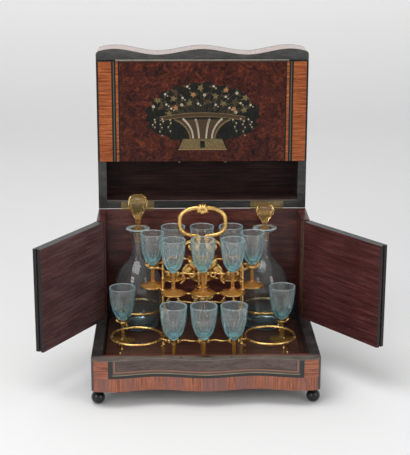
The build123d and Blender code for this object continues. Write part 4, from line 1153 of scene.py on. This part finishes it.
for end in (-1, 1):
    for hand in ("left", "right"):
        ring_piece(hand, end)
lower_holders()
plates_piece()
upper_holders()
posts_piece()
handle_piece()


# Stage, light and camera

def floor_and_backdrop():
    """A pale sheet that lies under the object and curves up well behind it."""
    half_width, front, bend_starts, bend, wall_top = 4.5, -6.5, 1.9, 0.9, 3.2
    profile = [(front, 0), (bend_starts, 0)]
    for k in range(1, 17):
        angle = radians(90 * k / 16)
        profile.append((bend_starts + bend * sin(angle), bend * (1 - cos(angle))))
    profile.append((bend_starts + bend, wall_top))
    bm = bmesh.new()
    rows = [[bm.verts.new((x, y, z)) for x in (-half_width, half_width)] for y, z in profile]
    for lower, upper in zip(rows, rows[1:]):
        bm.faces.new((lower[0], lower[1], upper[1], upper[0]))
    graph = Graph("paper_sheet", Roughness=0.9)
    paper = graph.mix(graph.noise(ENDLESS), (0.795, 0.795, 0.795), (0.82, 0.82, 0.82))
    # Painted light: the sheet turns whiter as it rises into the backdrop, making up for the light the bend
    # gets less of from above
    rise = graph.above(graph.along((0, 0, 1)), 0.16, 0.15)
    new_object("floor", bm, [graph.finish(graph.mix(rise, paper, (0.97, 0.97, 0.97)))])


def softbox(name, place, aim, size, power):
    lamp = bpy.data.lights.new(name, "AREA")
    lamp.shape = "RECTANGLE"
    lamp.size, lamp.size_y = size
    lamp.energy = power
    obj = bpy.data.objects.new(name, lamp)
    obj.location = place
    obj.rotation_euler = (Vector(aim) - Vector(place)).to_track_quat("-Z", "Y").to_euler()
    bpy.context.scene.collection.objects.link(obj)


floor_and_backdrop()
softbox("key_overhead", (-0.5, -0.6, 2.1), (0, 0, 0.2), (1.6, 1.2), 22)
softbox("front_left", (-1.5, -1.9, 1.1), (0, 0, 0.25), (0.9, 1.2), 14)
softbox("front_right", (1.6, -1.7, 0.9), (0, 0, 0.2), (0.8, 1.2), 10)

world = bpy.data.worlds.new("studio")
bpy.context.scene.world = world
world.use_nodes = True
background = world.node_tree.nodes["Background"]
background.inputs["Color"].default_value = (1, 1, 1, 1)
background.inputs["Strength"].default_value = 0.62

camera_data = bpy.data.cameras.new("camera")
camera_data.lens = 101.56
camera_data.sensor_width = 36
camera = bpy.data.objects.new("camera", camera_data)
camera_place, camera_yaw, camera_tilt, camera_roll = (-0.04727, -1.83498, 0.76079), -1.51, 73.98, 0.1
camera.matrix_world = (Matrix.Translation(camera_place) @ Matrix.Rotation(radians(camera_yaw), 4, "Z")
                       @ Matrix.Rotation(radians(camera_tilt), 4, "X")
                       @ Matrix.Rotation(radians(camera_roll), 4, "Z"))
bpy.context.scene.collection.objects.link(camera)
bpy.context.scene.camera = camera
bpy.context.scene.view_settings.view_transform = "Standard"

bpy.context.view_layer.update()
